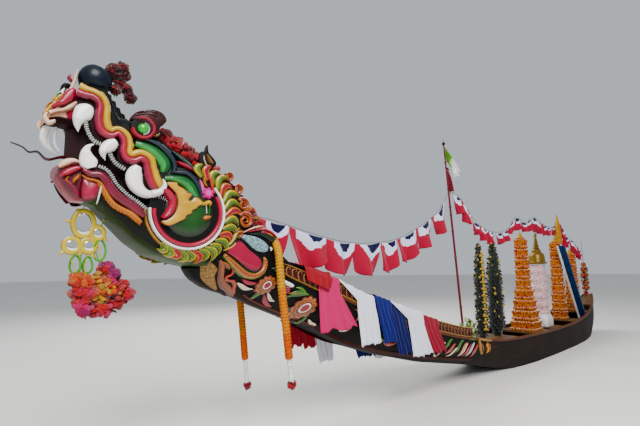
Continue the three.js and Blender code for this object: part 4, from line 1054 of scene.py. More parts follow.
# Jaw plate, cheek and eye: the middles of the plate and of the eye, in the head's plane
PLATE, EYE = (0.212, 2.297), (0.616, 2.984)
FLAME = metres("415 2535, 330 2542, 322 2518, 265 2490, 240 2460, 195 2452, 228 2398, 200 2395, 180 2420,"
               "150 2426, 118 2403, 95 2372, 140 2350, 155 2328, 190 2310, 200 2280, 240 2262, 255 2230,"
               "300 2206, 350 2178, 400 2168, 450 2200, 400 2215, 350 2260, 322 2330, 320 2390, 340 2450,"
               "390 2500")
# The flame leaves' length, in metres, by their angle round the plate
LEAF_AT = (-125, -90, -50, 0, 40, 72)
LEAF_LONG = (0.075, 0.10, 0.16, 0.20, 0.18, 0.14)


def kanok(angles):
    """Flame leaves that stand round the jaw plate, as long as the table says; each bends as it goes out."""
    made = []
    s = linspace(0, 1, 6)
    for k, angle in enumerate(angles):
        reach = 0.345 + s * interp(angle, LEAF_AT, LEAF_LONG) * (1.0 if k % 2 else 0.86)
        turn = np.radians(angle + 11 * sin(2.8 * s) - 4 * s)
        rows = column_stack([oval(*PLATE, -reach, reach, turn), [0.020, 0.030, 0.037, 0.034, 0.021, 0.001]])
        made.append((ribbon(rows, 0.034, 26, 11), KANOK_RED if k % 3 == 2 else KANOK_PAINT))
    return made


def make_jaw_plate():
    """The round plate behind the mouth: rings, a dome, and the flame and leaves laid over them."""
    u, z = PLATE
    shapes = [
        (boss(disc(u, z, 0.333, 48), 0.026, 0.0, rings=3), BLACK),
        (ribbon(arc(u, z, 0.3225, 134, 363, 0.0135, 60), 0.05, 110, 9), WHITE),
        (ribbon(arc(u, z, 0.288, 148, 363, 0.0215, 60), 0.05, 110, 9), CRIMSON),
        (ribbon(arc(u, z, 0.358, 296, 362, 0.011, 30), 0.03, 50, 7), TAN),
        (boss(disc(u - 0.002, z - 0.008, 0.21, 44), 0.03, 0.03, rings=10), DOME),
        (plate(curve(FLAME, 96, True), 0.078, 0.01, 0.02), FLAME_PAINT),
        (boss(petals(0.05, 2.475, 0.055, 7), 0.05, 0.02, (0.05, 2.475), rings=6), PINK),
        *kanok(linspace(-128, -64, 8)),
    ]
    shapes += bands([
        ("458 2470 22, 405 2455 36, 362 2400 40, 357 2345 40, 383 2282 38, 436 2228 20", 0.09, CRIMSON),
        ("122 2602 8, 98 2540 20, 88 2480 24, 92 2412 8", 0.045, PINK_LEAF),
        ("-12 2480 12, 5 2545 18, 18 2600 18, 42 2642 14, 20 2668 5", 0.045, SALMON),
        ("62 2655 6, 78 2610 14, 72 2565 15, 48 2535 6", 0.045, ORANGE),
        ("122 2372 10, 75 2378 20, 40 2392 22, 26 2358 8", 0.09, GOLD),
        ("66 2360 4, 60 2290 4", 0.07, WHITE),
        ("36 2352 6, 40 2284 6", 0.07, GREEN),
        ("100 2236 8, 62 2255 27, 12 2264 10", 0.075, ORANGE),
    ])
    carve("jaw_plate", shapes, HEAD_PLANE, ["jaw_plate"])


def make_cheeks():
    """Lobes and their borders between eye and jaw plate, and the small horn behind them."""
    under = metres("665 2905, 560 2908, 450 2875, 385 2805, 345 2740, 330 2690, 250 2690, 170 2640, 110 2560,"
                   "80 2450, 100 2390, 200 2400, 300 2480, 400 2500, 480 2600, 560 2750, 640 2780")
    # The dark green plate under the lobes is painted shadow between the lobes and the gold
    shapes = [(plate(under, 0.016, 0.006), DEEP_GREEN)] + bands([
        ("668 2850 26, 600 2832 38, 520 2800 46, 455 2745 54, 425 2685 52, 440 2625 26", 0.06, LOBE),
        ("425 2580 22, 340 2578 38, 270 2566 50, 212 2530 54, 168 2470 46, 122 2412 16", 0.06, LOBE),
        ("640 2888 8, 560 2888 20, 480 2862 27, 408 2806 29, 358 2740 28, 345 2672 26, 368 2622 10", 0.05,
         NAVY),
        ("378 2634 8, 310 2642 24, 242 2642 27, 182 2604 27, 137 2540 26, 112 2470 22, 100 2405 8", 0.055,
         NAVY),
        ("385 2835 6, 320 2794 15, 250 2748 17, 180 2694 17, 130 2640 8", 0.035, TEAL),
        ("335 2738 5, 290 2724 17, 230 2704 18, 185 2672 7", 0.045, CRIMSON),
    ])
    horn = metres("122 2850, 86 2866, 57 2932, 44 2860, 0 2812, -30 2765, 0 2720, 40 2692, 100 2700,"
                  "130 2780")
    shapes.append((plate(curve(horn, 60, True), 0.03, 0.008), BLACK))
    shapes += bands([("68 2862 2, 58 2822 18, 30 2778 26, -5 2752 10", 0.045, HORN_PAINT),
                     ("88 2832 2, 86 2785 7, 66 2740 6, 48 2720 2", 0.045, FLESH)])
    carve("cheek", shapes, HEAD_PLANE, [])


def make_eyes():
    """The eye in its rings, in front of a scaled brow."""
    u, z = EYE
    brow = metres("720 3045, 690 3098, 650 3126, 610 3140, 560 3155, 508 3156, 470 3144, 442 3115, 430 3083,"
                  "442 3056, 472 3028, 492 2985, 520 2945, 580 2990, 640 3030")
    shapes = [
        (boss(brow, 0.05, 0.022, (0.58, 3.06), count=60), BROW_PAINT),
        (boss(disc(u, z, 0.098, 40), 0.055, 0.006), BLACK),
        (ribbon(arc(u, z, 0.084, 60, 350, 0.02, 40), 0.08, 70, 9), CRIMSON),
        (ribbon(arc(u + 0.002, z - 0.011, 0.048, 100, 270, 0.009, 30), 0.082, 40, 7), EYE_RIM),
        (boss(disc(u + 0.004, z - 0.011, 0.044, 32), 0.062, 0.038, rings=12), EYE_GLASS),
    ]
    shapes += bands([("700 3066 4, 640 3092 8, 570 3104 9, 500 3092 4", 0.078, DARK_RED),
                     ("690 3090 3, 620 3122 7, 550 3134 8, 480 3118 3", 0.074, DARK_RED),
                     ("530 2930 12, 500 2938 16, 478 2962 8", 0.05, HORN_PAINT)])
    carve("eye", shapes, HEAD_PLANE, ["eye"])


def make_chin_and_tongue():
    """The chin pouch and its folds, the tongue, and the dark filling of the mouth."""
    piece("chin_pouch_carved",
          [(block(CHIN, lambda x: head_half(x) - 0.004, 0.05, 0.03, 0.012, 30, 0.45), CRIMSON)],
          ["chin_pouch"])
    pouch = metres("1045 2512, 980 2505, 918 2482, 914 2440, 925 2390, 950 2348, 1040 2345")
    folds = [(boss(pouch, 0.01, 0.03, (0.985, 2.43), count=48), POUCH)] + bands([
        ("1058 2640 8, 1110 2645 22, 1160 2622 30, 1200 2585 14", 0.04, FLESH),
        ("1045 2592 10, 1085 2586 24, 1140 2552 28, 1192 2514 8", 0.045, CRIMSON),
        ("1172 2502 6, 1125 2462 30, 1085 2412 34, 1062 2352 12", 0.03, DARK_LIP),
        ("1060 2545 3, 1072 2518 15, 1092 2492 15, 1102 2458 2", 0.055, ORANGE),
        ("1130 2520 3, 1145 2490 9, 1140 2465 2", 0.05, ORANGE),
        ("905 2478 5, 911 2425 8, 920 2370 7, 930 2322 4", 0.035, WHITE),
    ])
    carve("chin_folds", folds, HEAD_PLANE, [])
    root_x = linspace(9.46, 10.12, 24)
    low = np.where(root_x < 9.98, eased(JAW, root_x, 0.01)[:, 2], eased(CHIN, root_x, 0.01)[:, 2]) + HAIR
    high = eased(SKULL, root_x, 0.01)[:, 1] - HAIR
    wide = head_half(root_x) * interp(root_x, [10.0, 10.12], [0.55, 0.3])
    y = wide[:, None] * array([-1, 1, 1, -1, -1])
    z = stack([low, low, high, high, low], -1)
    root = capped(stack([broadcast_to(root_x[:, None], y.shape), y, z], -1))
    blade = curve(metres("9990 2690, 10130 2702, 10240 2664, 10306 2713, 10361 2702, 10405 2735, 10482 2758"),
                  60)
    left = 1 - linspace(0, 1, 60)
    half, thick = 0.006 + 0.044 * left ** 0.8, 0.005 + 0.011 * left
    angle = linspace(0, 2 * pi, 17)
    y = half[:, None] * cos(angle)
    z = blade[:, 1:] + thick[:, None] * sin(angle)
    points, faces, uv = capped(stack([broadcast_to(blade[:, :1], y.shape), y, z], -1))
    piece("tongue_carved", [(root, MOUTH), ((points, faces, uv[:, ::-1]), TONGUE)], ["tongue"])


# The nose ball's middle and radius, and the comb's outline above the skull, both along the ridge
NOSE_BALL = (9.931, 3.405, 0.132)
COMB = metres("9830 3312, 9802 3306, 9796 3262, 9764 3256, 9756 3212, 9726 3204, 9716 3166, 9686 3158,"
              "9676 3124, 9646 3116")


def make_ridge():
    """Nose ball, comb and scroll, on the head's centreline."""
    x, z, radius = NOSE_BALL
    angle = linspace(-1.2, pi / 2, 26)
    ball = turned((x, 0), oval(0, z, radius, radius, angle), 48)
    piece("nose_ball_gloss", [(ball, BALL)], ["nose_ball"])
    foot = array([9.64, 9.78, 9.838])
    comb = np.vstack([column_stack([foot, eased(SKULL, foot, 0.001)[:, 2] + HAIR]), COMB])
    piece("comb_carved", [(upright(plate(comb, 0.044, 0.008, 0.0), -0.022), BLACK)], ["comb"])
    shapes = []
    for rows, height, paint in (
        ("10076 3450 5, 10085 3380 12, 10100 3310 14, 10126 3235 14, 10165 3165 12, 10235 3105 6", 0.05,
         FLESH),
        ("10120 3300 16, 10152 3290 22, 10170 3240 18", 0.035, BLACK),
        ("10105 3345 10, 10128 3372 12, 10112 3405 2", 0.03, CRIMSON),
        ("10158 3262 6, 10172 3232 13, 10176 3200 6", 0.045, WHITE),
        ("10150 3200 10, 10190 3185 24, 10212 3150 20, 10180 3130 12", 0.045, GOLD),
        ("10200 3150 10, 10235 3110 18, 10262 3060 18, 10284 3022 12", 0.04, GOLD),
        ("10178 3215 5, 10200 3200 9, 10214 3170 5", 0.05, GREEN),
        ("10236 3128 5, 10262 3100 9, 10268 3068 4", 0.05, ORANGE)):
        shapes += [(upright(ribbon(metres(rows), height, 30, 9, 0.0), 0, way), paint) for way in (1, -1)]
    for path in ("10245 -40 2940 28, 10262 -50 2880 32, 10258 -56 2820 28, 10225 -60 2770 18,"
                 "10175 -62 2738 2", "10190 -20 2940 12, 10198 -22 2860 14, 10186 -24 2790 10,"
                 "10150 -26 2745 2"):
        rows = metres(path)
        shapes.append((tube(rows[:, :3], rows[:, 3], 16, 30), WHITE))
    piece("nose_scroll_carved", shapes, ["nose_scroll"])


# Mane, name plate and bow carving

def make_mane():
    """The board round the jaw plate's aft side, with its curls and flame leaves."""
    turn = np.radians(linspace(-66, 74, 30))
    reach = interp(np.degrees(turn), [-66, -30, 0, 30, 74], [0.45, 0.50, 0.54, 0.52, 0.44])
    ground = concatenate([oval(*PLATE, -reach, reach, turn), oval(*PLATE, -0.325, 0.325, turn)[::-1]])
    shapes = [(plate(ground, 0.014, 0.004), MANE_GROUND)]
    for cu, cz, radius in metres("-345 2255 78, -320 2410 62, -265 2545 52, -275 2120 45, -165 2655 45"):
        turn = linspace(0.6, 3.6 * pi, 40)
        wind = radius * (1 - turn / turn[-1] * 0.85)
        rows = column_stack([oval(cu, cz, wind, wind, turn), radius * (0.26 - 0.15 * turn / turn[-1])])
        shapes.append((ribbon(rows, 0.042, 60, 9), KANOK_RED))
    shapes += kanok(linspace(-56, 72, 13))
    shapes += bands([("-150 2000 5, -200 2040 18, -250 2110 20, -285 2190 5", 0.036, KANOK_PAINT),
                     ("-120 1965 4, -170 1985 12, -215 2010 12, -255 2060 3", 0.034, GOLD),
                     ("-200 2050 3, -225 2105 12, -290 2150 14, -330 2140 3", 0.038, GOLD)])
    carve("mane", shapes, NECK_PLANE, ["mane"])


def make_name_plate():
    """The bare plate in its border of petals, and the leaves above it."""
    border = metres("-105 1950, -187 1850, -279 1775, -378 1709, -485 1688, -564 1715, -612 1790, -620 1880,"
                    "-640 1990, -600 2070, -480 2120, -300 2125, -200 2050")
    bare = metres("-158 1950, -200 1995, -262 2050, -312 2038, -380 1975, -450 1930, -505 1885, -518 1835,"
                  "-490 1797, -441 1784, -383 1802, -310 1847, -240 1895, -195 1925")
    petal_line = curve(metres("-128 1932 16, -202 1870 25, -277 1812 27, -350 1762 28, -415 1734 28,"
                              "-478 1728 28, -530 1756 28, -570 1815 27, -577 1868 24, -555 1908 12"), 90)
    shapes = [(boss(border, 0.014, 0.0, rings=3, count=80), BLACK),
              (ribbon(beside(petal_line, 0.0, 1.3, 90), 0.022, 80, 7), GREEN_LINE),
              (ribbon(petal_line, 0.032, 90, 9), BORDER_PAINT),
              (boss((bare - bare.mean(0)) * 1.12 + bare.mean(0), 0.026, 0.0, count=70, rings=3), DARK_RED),
              (boss(bare, 0.034, 0.008, count=70), PLATE_RED)]
    for k in range(4, 88, 4):
        shapes.append((boss(disc(*petal_line[k, :2], 0.011, 8), 0.034, 0.006, rings=3), RED_SPOT))
    pale = metres("-268 2108, -330 2118, -420 2110, -500 2090, -570 2050, -603 2008, -590 1970, -545 1957,"
                  "-480 1968, -420 2000, -340 2062")
    upper = metres("-385 2130, -480 2148, -600 2140, -690 2095, -715 2050, -640 2060, -560 2100, -470 2122")
    shapes += [(boss(pale, 0.026, 0.014, count=50), PALE_LEAF),
               (boss(upper, 0.022, 0.01, count=40), DEEP_GREEN)]
    shapes += bands([("-370 2146 4, -470 2170 10, -560 2180 13, -640 2160 13, -712 2105 6", 0.034, CRIMSON),
                     ("-300 2128 3, -380 2168 8, -470 2200 10, -540 2212 4", 0.03, FLESH),
                     ("-628 2010 3, -642 1995 9, -640 1970 3", 0.032, WHITE)])
    carve("name_plate", shapes, NECK_PLANE, ["name_plate"])


def make_bow_carving():
    """Rosettes and leaves low on the neck, and the trims of its chest and edges."""
    shapes = []
    for u, z, radius in ((-0.623, 1.634, 0.1), (-1.134, 1.375, 0.135)):
        shapes += [
            (boss(petals(u, z, radius, 11), 0.018, 0.012, (u, z), rings=6), ROSETTE),
            (boss(petals(u, z, radius * 0.72, 11), 0.028, 0.008, (u, z), rings=5), ROSETTE),
            (boss(disc(u, z, radius * 0.5), 0.036, 0.004, rings=5), CRIMSON),
            (ribbon(arc(u, z, radius * 0.34, 0, 360, radius * 0.1, 30), 0.046, 40, 7), CREAM),
        ]
    shapes += bands([
        ("-881 1498 8, -949 1531 30, -1033 1535 34, -1130 1518 8", 0.026, LEAF_RIB),
        ("-960 1600 4, -1010 1590 20, -1060 1560 18, -1090 1530 3", 0.022, LEAF_RIB),
        ("-891 1544 4, -938 1541 9, -995 1540 3", 0.034, TAN),
        ("-614 1583 8, -603 1547 24, -580 1510 18, -564 1489 3", 0.026, LEAF_RIB),
        ("-381 1699 4, -430 1670 18, -491 1654 18, -533 1659 5", 0.026, CRIMSON),
        ("-352 1665 5, -403 1637 15, -463 1604 16, -524 1596 5", 0.03, CREAM),
        ("-686 1553 4, -722 1512 12, -763 1475 12, -803 1460 4", 0.03, CREAM),
        ("-665 1537 4, -707 1475 16, -762 1428 16, -821 1397 4", 0.026, CRIMSON),
        ("-790 1682 5, -850 1645 20, -900 1622 20, -925 1612 5", 0.03, WHITE),
        ("-834 1610 5, -867 1585 22, -881 1544 16", 0.024, CRIMSON),
        ("-908 1393 5, -977 1373 24, -1036 1342 5", 0.022, TEAL),
        ("-1221 1297 5, -1213 1234 18, -1184 1205 14, -1137 1212 4", 0.024, LEAF_RIB),
        ("-1268 1237 4, -1302 1198 14, -1342 1180 12, -1376 1160 4", 0.026, CREAM),
        ("-660 1800 5, -700 1790 20, -735 1740 18, -720 1700 5", 0.022, TEAL),
    ])
    carve("bow_carving", shapes, NECK_PLANE, ["bow_carving"])
    chest = metres("53 1882, 16 1800, -15 1731, -69 1677, -138 1629, -208 1598, -172 1652, -132 1706,"
                   "-111 1743, -110 1790, -74 1831, -31 1863, 17 1890")
    trims = [(boss(chest, 0.012, 0.008, count=60), CHEST)] + bands([
        ("-102 1878 12, -134 1822 26, -156 1761 26, -185 1696 26, -241 1644 30, -298 1609 28, -358 1562 20,"
         "-411 1525 6", 0.024, BROWN_WAVE),
        ("-126 1862 8, -172 1832 20, -213 1796 8", 0.028, BROWN_WAVE),
        ("-239 1800 5, -256 1768 13, -245 1741 14, -219 1724 16, -228 1699 14, -261 1687 14, -299 1680 16,"
         "-336 1643 16, -359 1591 16, -394 1555 8", 0.03, SALMON),
        ("-482 1545 6, -581 1486 8, -759 1405 8, -965 1323 8, -1150 1247 8, -1376 1150 8", 0.012, RUST),
        ("-745 1775 5, -900 1702 7, -1100 1622 7, -1376 1512 6", 0.03, TAN),
        ("-760 1850 5, -900 1815 7, -1100 1745 7, -1376 1640 6", 0.03, TAN),
    ])
    for u in np.arange(-0.84, -1.25, -0.075):
        top = interp(-u, [0.76, 0.9, 1.1, 1.376], [1.845, 1.81, 1.74, 1.635])
        trims.append((ribbon(hook(u, top - 0.105, 1.05), 0.02, 12, 5), HOOK_PAINT))
    band = metres("-745 1770, -900 1702, -1100 1622, -1376 1512, -1376 1640, -1100 1745, -900 1815,"
                  "-760 1850")
    trims.append((plate(band, 0.012, 0.004), FRET_RED))
    carve("neck_trims", trims, NECK_PLANE, [])


def make_hull_carving():
    """The carved band between the cloths, the brown chine under it, and the leaves laid over the rail."""
    shapes = bands([
        ("-1380 1145 22, -1600 1035 24, -1900 905 25, -2200 815 26, -2500 725 27, -2800 660 28, -3100 595 28,"
         "-3400 538 28, -3700 486 28, -4000 436 28, -4450 372 28", 0.02, CHINE),
        ("-1640 1130 4, -1680 1085 11, -1740 1080 12, -1775 1110 10, -1750 1135 4", 0.02, CREAM),
        ("-1830 1180 4, -1870 1240 14, -1850 1300 12, -1810 1320 4", 0.02, BROWN_WAVE),
        ("-2235 1330 4, -2275 1260 18, -2250 1180 16, -2290 1100 5", 0.02, BROWN_WAVE),
        ("-2190 950 5, -2290 915 24, -2420 905 5", 0.02, LEAF_RIB),
        ("-2370 870 5, -2470 835 24, -2560 850 18, -2640 870 4", 0.02, SALMON),
        ("-2450 930 4, -2530 960 16, -2560 1020 5", 0.02, LEAF_RIB),
        ("-2730 1080 4, -2760 1010 14, -2740 950 4", 0.02, BROWN_WAVE),
        ("-3420 600 4, -3440 565 10, -3480 555 10, -3510 590 10, -3480 620 4", 0.02, CREAM),
        ("-3500 760 4, -3570 725 16, -3640 730 4", 0.02, FLESH),
        ("-3600 640 5, -3690 690 24, -3760 745 20, -3830 750 4", 0.02, LEAF_RIB),
        ("-3680 560 5, -3760 600 28, -3830 660 26, -3900 680 5", 0.022, SALMON),
        ("-3720 520 4, -3800 540 16, -3880 600 14, -3940 620 4", 0.022, CREAM),
        ("-3880 540 5, -3970 610 26, -4050 690 22, -4130 700 4", 0.02, LEAF_RIB),
        ("-4010 480 5, -4090 540 32, -4170 620 30, -4240 650 5", 0.024, FLESH),
        ("-4110 470 4, -4190 520 16, -4260 590 14, -4330 620 4", 0.024, SALMON),
        ("-4200 450 5, -4290 520 30, -4370 600 28, -4430 640 5", 0.024, PALE_BAND),
        ("-4330 420 5, -4410 490 26, -4480 560 22, -4520 600 5", 0.024, SALMON),
        ("-4270 690 4, -4370 690 16, -4460 660 4", 0.02, LEAF_RIB),
        ("-4550 670 14, -4580 600 20, -4600 500 20, -4640 430 12", 0.03, TAN),
        ("-4540 672 14, -4700 640 20, -4920 604 16", 0.034, TAN),
        ("-4620 600 5, -4660 540 26, -4700 460 5", 0.024, BROWN_WAVE),
        ("-4800 420 5, -4830 490 22, -4800 540 18, -4840 590 4", 0.03, GOLD),
        ("-4860 430 4, -4880 500 16, -4870 560 4", 0.03, ORANGE),
    ])
    carve("hull", shapes, None, place=on_hull)
    at = column_stack([rng.uniform(4.45, 4.78, 46), rng.uniform(0.38, 0.46, 46), rng.uniform(0.70, 0.93, 46)])
    way = column_stack([rng.uniform(-0.8, 0.8, 46), rng.uniform(0.1, 1, 46), rng.uniform(-0.6, 0.8, 46)])
    shapes = [(repeat(leaf(), at, 0.09 * rng.uniform(0.7, 1.2, 46), way), TUFTS),
              (repeat(bloom(), at[:14], 0.022, way[:14]), CREAM), (repeat(leaf(), at, 0.1, -way), LEAF_RIB)]
    piece("leaf_bunch", shapes)


# Flowers

def skull_top(x):
    """Height of the skull's back at x."""
    return interp(x, SKULL[:, 0], SKULL[:, 2])


def neck_top(x):
    """Height of the neck's back at x."""
    return interp(x, NECK[:, 0], NECK[:, 2])


def make_flowers():
    """The flowers on the head, on the neck and behind the nose ball, with leaves and dark cores."""
    head = array([[x, y, z, r] for x, z, r in ((9.09, 2.80, 0.11), (9.18, 2.86, 0.105), (9.28, 2.92, 0.1),
                                               (9.37, 2.97, 0.085)) for y in (-0.12, 0, 0.12)])
    neck = array([[x, y, neck_top(x) + up, r] for x in (8.4, 8.52, 8.64, 8.76, 8.87)
                  for y, up, r in ((0.1, 0.06, 0.115), (-0.1, 0.06, 0.115), (0, 0.19, 0.1))])
    ball = metres("9790 0 3530 60, 9720 20 3575 50, 9730 -20 3480 60, 9680 10 3400 45, 9770 0 3370 45,"
                  "9690 0 3530 48, 9640 0 3330 50")
    for name, clumps, count, size, paint, node_name, low in (
            ("head_blooms", head, 760, 0.026, RED_BLOOMS, "head_flowers", skull_top),
            ("neck_blooms", neck, 560, 0.032, WARM_BLOOMS, "neck_flowers", neck_top),
            ("ball_blooms", ball, 420, 0.019, DARK_BLOOMS, "ball_flowers", lambda x: x * 0)):
        at, way = strewn(clumps, count, lambda p: p[:, 2] > low(p[:, 0]) - 0.01)
        at = at - way * size * 0.3
        green, green_way = strewn(clumps, count // 4, lambda p: p[:, 2] > low(p[:, 0]))
        core = hearts(clumps, [(0, -0.8), (0.7, -0.3), (0.75, 0), (0.5, 0.6), (0, 0.8)], DARK_LEAVES)
        piece(name, [*core, (repeat(bloom(), at, size * rng.uniform(0.8, 1.2, len(at)), way), paint),
                     (repeat(leaf(), green - green_way * 0.02, 0.05, np.roll(green_way, 1, 1)), TUFTS)],
              [node_name])


# Pendant under the jaw. Its hinge is at (x, z). The roof gap, and how that grows per metre ahead of the
# hinge, keep the frame clear of the jaw as it swings. Half the frame's width, and how far the glass lies
# inside its outer edge. A tip of the frame: its x, z and the way it points. A lobe: the x and z of its
# middle, half its width and height. A ball of the bunch: x, y, z and radius
HINGE = (9.811, 2.2136)
ROOF_GAP, ROOF_RISE = 0.036, 0.125
FRAME_HALF, GLASS_INSET = 0.021, 0.034
TIPS = [(10.055, 2.19, 1.0, 0.1), (10.00, 2.29, 0.5, 0.8), (9.90, 2.28, -0.5, 0.8), (9.79, 2.065, -0.7, -0.6),
        (10.09, 1.95, 0.8, -0.6), (9.88, 1.93, -0.5, -0.9), (9.97, 1.95, 0.1, -1.0)]
LOBES = metres("9957 2178 98 125, 9850 2106 70 72, 10032 2000 78 78, 9912 2000 74 76")
BUNCH = metres("9975 0 1725 58, 9905 20 1705 60, 9955 -10 1630 68, 9885 20 1620 68, 9930 0 1540 66,"
               "9925 20 1490 52, 9850 -20 1490 62, 9770 10 1490 70, 9792 0 1588 80, 9815 10 1705 76,"
               "9767 0 1812 58, 9742 -20 1830 34, 9712 20 1765 45, 9722 -10 1720 70, 9708 30 1631 84,"
               "9635 0 1662 54, 9608 10 1612 68, 9660 -20 1552 70")


def facing_both(shape):
    """A flat carving as two, back to back on the centreline: one faces port and one starboard."""
    p, f, uv = shape
    return [upright((maximum(p, [-np.inf, -np.inf, 0]), f, uv), 0, way) for way in (1, -1)]


def make_pendant():
    """Four mirrors in a frame, strings and a bunch of flowers, which swing as one."""
    shapes = []
    for x, z, wide, high in LOBES:
        angle = linspace(0, 2 * pi, 49)
        line = oval(x, z, wide - FRAME_HALF, high - FRAME_HALF, angle)
        line = column_stack([line, np.full(49, FRAME_HALF)])
        glass = oval(x, z, wide - GLASS_INSET, high - GLASS_INSET, angle[:-1])
        for shape, paint in ((ribbon(line, 0.016, 60, 7, 0.0), FRAME_YELLOW),
                             (boss(glass, 0.006, 0.006, base=0.0), MIRROR)):
            shapes += [(one, paint) for one in facing_both(shape)]
    for x, z, dx, dz in TIPS:
        rows = array([[x - dx * 0.01, z - dz * 0.01, 0.016], [x + dx * 0.018, z + dz * 0.018, 0.012],
                      [x + dx * 0.042, z + dz * 0.042, 0.001]])
        roof = interp(rows[:, 0], *concatenate([JAW[:, :2], CHIN[1:, :2]]).T)
        rows[:, 1] = np.minimum(rows[:, 1], roof - ROOF_GAP - maximum(0, rows[:, 0] - HINGE[0]) * ROOF_RISE)
        shapes += [(one, FRAME_YELLOW) for one in facing_both(ribbon(rows, 0.012, 10, 7, 0.0))]
    turn = linspace(0, 2 * pi, 13)
    eye = np.insert(oval(*HINGE, 0.008, 0.008, turn), 1, 0, axis=1)
    shapes.append((tube(eye, 0.0035, 6), FRAME_YELLOW))
    strings = ("9811 0 2206, 9820 0 2170, 9840 0 2140", "9850 10 2060, 9830 15 1950, 9790 10 1860",
               "9870 -10 2060, 9850 -10 1950, 9800 0 1800", "9930 10 1930, 9930 20 1800, 9930 20 1660",
               "9960 0 1930, 9960 -10 1800, 9930 -20 1600", "10050 10 1930, 10000 20 1800, 9940 20 1680")
    for k, path in enumerate(strings):
        shapes.append((tube(metres(path), 0.0045, 6, 14), FRAME_YELLOW if k % 2 else STRING_GREEN))
    for x, z, wide, high in ((9.825, 1.965, 0.045, 0.085), (9.91, 1.845, 0.035, 0.065),
                             (10.0, 1.85, 0.038, 0.07)):
        angle = linspace(0, 2 * pi, 33)
        path = column_stack([x + wide * cos(angle), 0.012 * sin(2 * angle), z + high * sin(angle)])
        shapes.append((tube(path, 0.009, 7), STRING_GREEN))
    at, way = strewn(BUNCH, 700, spread=0.88)
    fore = interp(at[:, 2], [1.5, 1.56, 1.64, 1.72], [0.2, 0.35, 0.38, 0.75])
    middle = interp(at[:, 2], [1.48, 1.56, 1.78, 1.84], [0.4, 0.85, 0.9, 0.1])
    aft = interp(at[:, 2], [1.56, 1.6, 1.66, 1.7, 1.76], [0.4, 0.8, 0.8, 0.3, 0.08])
    aft = np.where(at[:, 0] > 9.67, aft, 0.36)
    hue = np.where(at[:, 0] > 9.86, fore, np.where(at[:, 0] > 9.76, middle, aft))
    hue = hue + rng.normal(0, 0.09, len(at))
    sizes = 0.027 * rng.uniform(0.6, 1.3, len(at))
    shapes.append((repeat(bloom(), at, sizes, way, np.clip(hue, 0, 0.99)), BOUQUET))
    shapes += hearts(BUNCH, [(0, -0.7), (0.6, -0.3), (0.68, 0), (0.5, 0.45), (0, 0.7)], BOUQUET)
    green, green_way = strewn(BUNCH, 60, spread=0.8)
    shapes.append((repeat(leaf(), green, 0.05, np.roll(green_way, 1, 1)), DARK_LEAVES))
    piece("pendant_mirrors", shapes, ["pendant"], "pendant")


# Garlands, the two free cords: the port one's line as rows of x, y and z
GARLAND = metres("8290 60 2122, 8295 200 2122, 8300 325 2093, 8302 418 1985, 8298 446 1800, 8268 444 1550,"
                 "8226 446 1250, 8188 446 950, 8150 446 640")
# How much further aft and lower the far garland hangs, its radius, and the length of one flower head on it
FAR_AFT, FAR_LOWER, ROPE_RADIUS, BLOOM_PITCH = 0.075, 0.18, 0.042, 0.032


def make_garlands():
    """A rope of threaded flower heads: its radius swells once for each head and ripples once a petal."""
    for word, side in SIDES:
        line = curve(GARLAND, 360)
        if side < 0:
            line[:, 0] -= interp(line[:, 2], [1.9, 2.1], [FAR_AFT, 0])
            line[:, 2] -= interp(line[:, 2], [0.64, 1.98], [FAR_LOWER, 0])
        length = np.linalg.norm(np.diff(line, axis=0), axis=1).sum()
        s = linspace(0, 1, 360)
        swell = 0.82 + 0.18 * np.abs(sin(pi * length / BLOOM_PITCH * s))
        thread = s > 0.84
        radius = ROPE_RADIUS * np.where(thread, 0.62, 1.0) * swell
        way = unit(np.gradient(line, axis=0))
        one = unit(np.cross(way, [1, 0, 0]))
        two = np.cross(way, one)
        angle = linspace(0, 2 * pi, 29)
        ripple = 1 - 0.1 * np.abs(sin(angle * 7))[None] * np.where(thread, 0.3, 1.0)[:, None]
        reach = radius[:, None] * ripple
        ring = (one[:, None] * cos(angle)[:, None] + two[:, None] * sin(angle)[:, None]) * reach[..., None]
        tail = [*line[-1], 0]
        clumps = tail + metres("0 0 20 30, -15 0 35 25, 15 0 35 25")
        rope = capped(line[:, None] + ring, s)
        made = piece(f"garland_rope_{word}", [(mirrored(rope, side), GARLAND_FLOWERS)], [f"garland_{word}"],
                     sharp=180)
        at, out = strewn(clumps, 60)
        tuft = piece(f"garland_tassel_{word}",
                     [(mirrored(repeat(bloom(), at, 0.018, out), side), RED_BLOOMS)], [])


# Cloths over the fretwork, a row for each strand. Columns: node; aft and fore edge of the port hem; those
# of the top; how much further forward the top's edge runs along the rail; aft and fore edge of the
# starboard hem; height of the port hem (or its drop, if under 0.2); of the starboard hem; a shaded and a
# lit tone of its dye, as painted fold shade and light; those of its far part
CLOTHS = [
    ("cloth_pink", (7.18, 7.73), (7.44, 7.76), 0.04, (6.98, 7.22), 1.10, 0.76, ("f0106c", "ff2c84"),
     ("b00824", "e01038")),
    ("cloth_pink", (7.56, 7.90), (7.60, 7.92), 0.04, (7.22, 7.46), 0.07, 0.80, ("a8001c", "d00028"),
     ("b00824", "e01038")),
    ("cloth_white_fore", (6.77, 7.13), (6.86, 7.17), 0.28, (6.68, 6.95), 0.88, 0.54, ("b4b8cc", "f2f2f6"),
     None),
    ("cloth_blue", (6.44, 6.72), (6.58, 6.85), 0.04, (5.95, 6.18), 0.86, 0.49, ("060c48", "1020a8"), None),
    ("cloth_blue", (6.16, 6.44), (6.30, 6.56), 0.2, (5.78, 5.95), 0.68, 0.47, ("04083a", "0a1684"), None),
    ("cloth_white_aft", (5.73, 6.15), (5.93, 6.26), 0.34, (5.50, 5.76), 0.61, 0.40, ("b4b8cc", "f2f2f6"),
     None),
    ("cloth_red", (5.38, 5.71), (5.56, 5.91), 0.1, (5.10, 5.42), 0.60, 0.40, ("8c0626", "d4103c"), None),
]
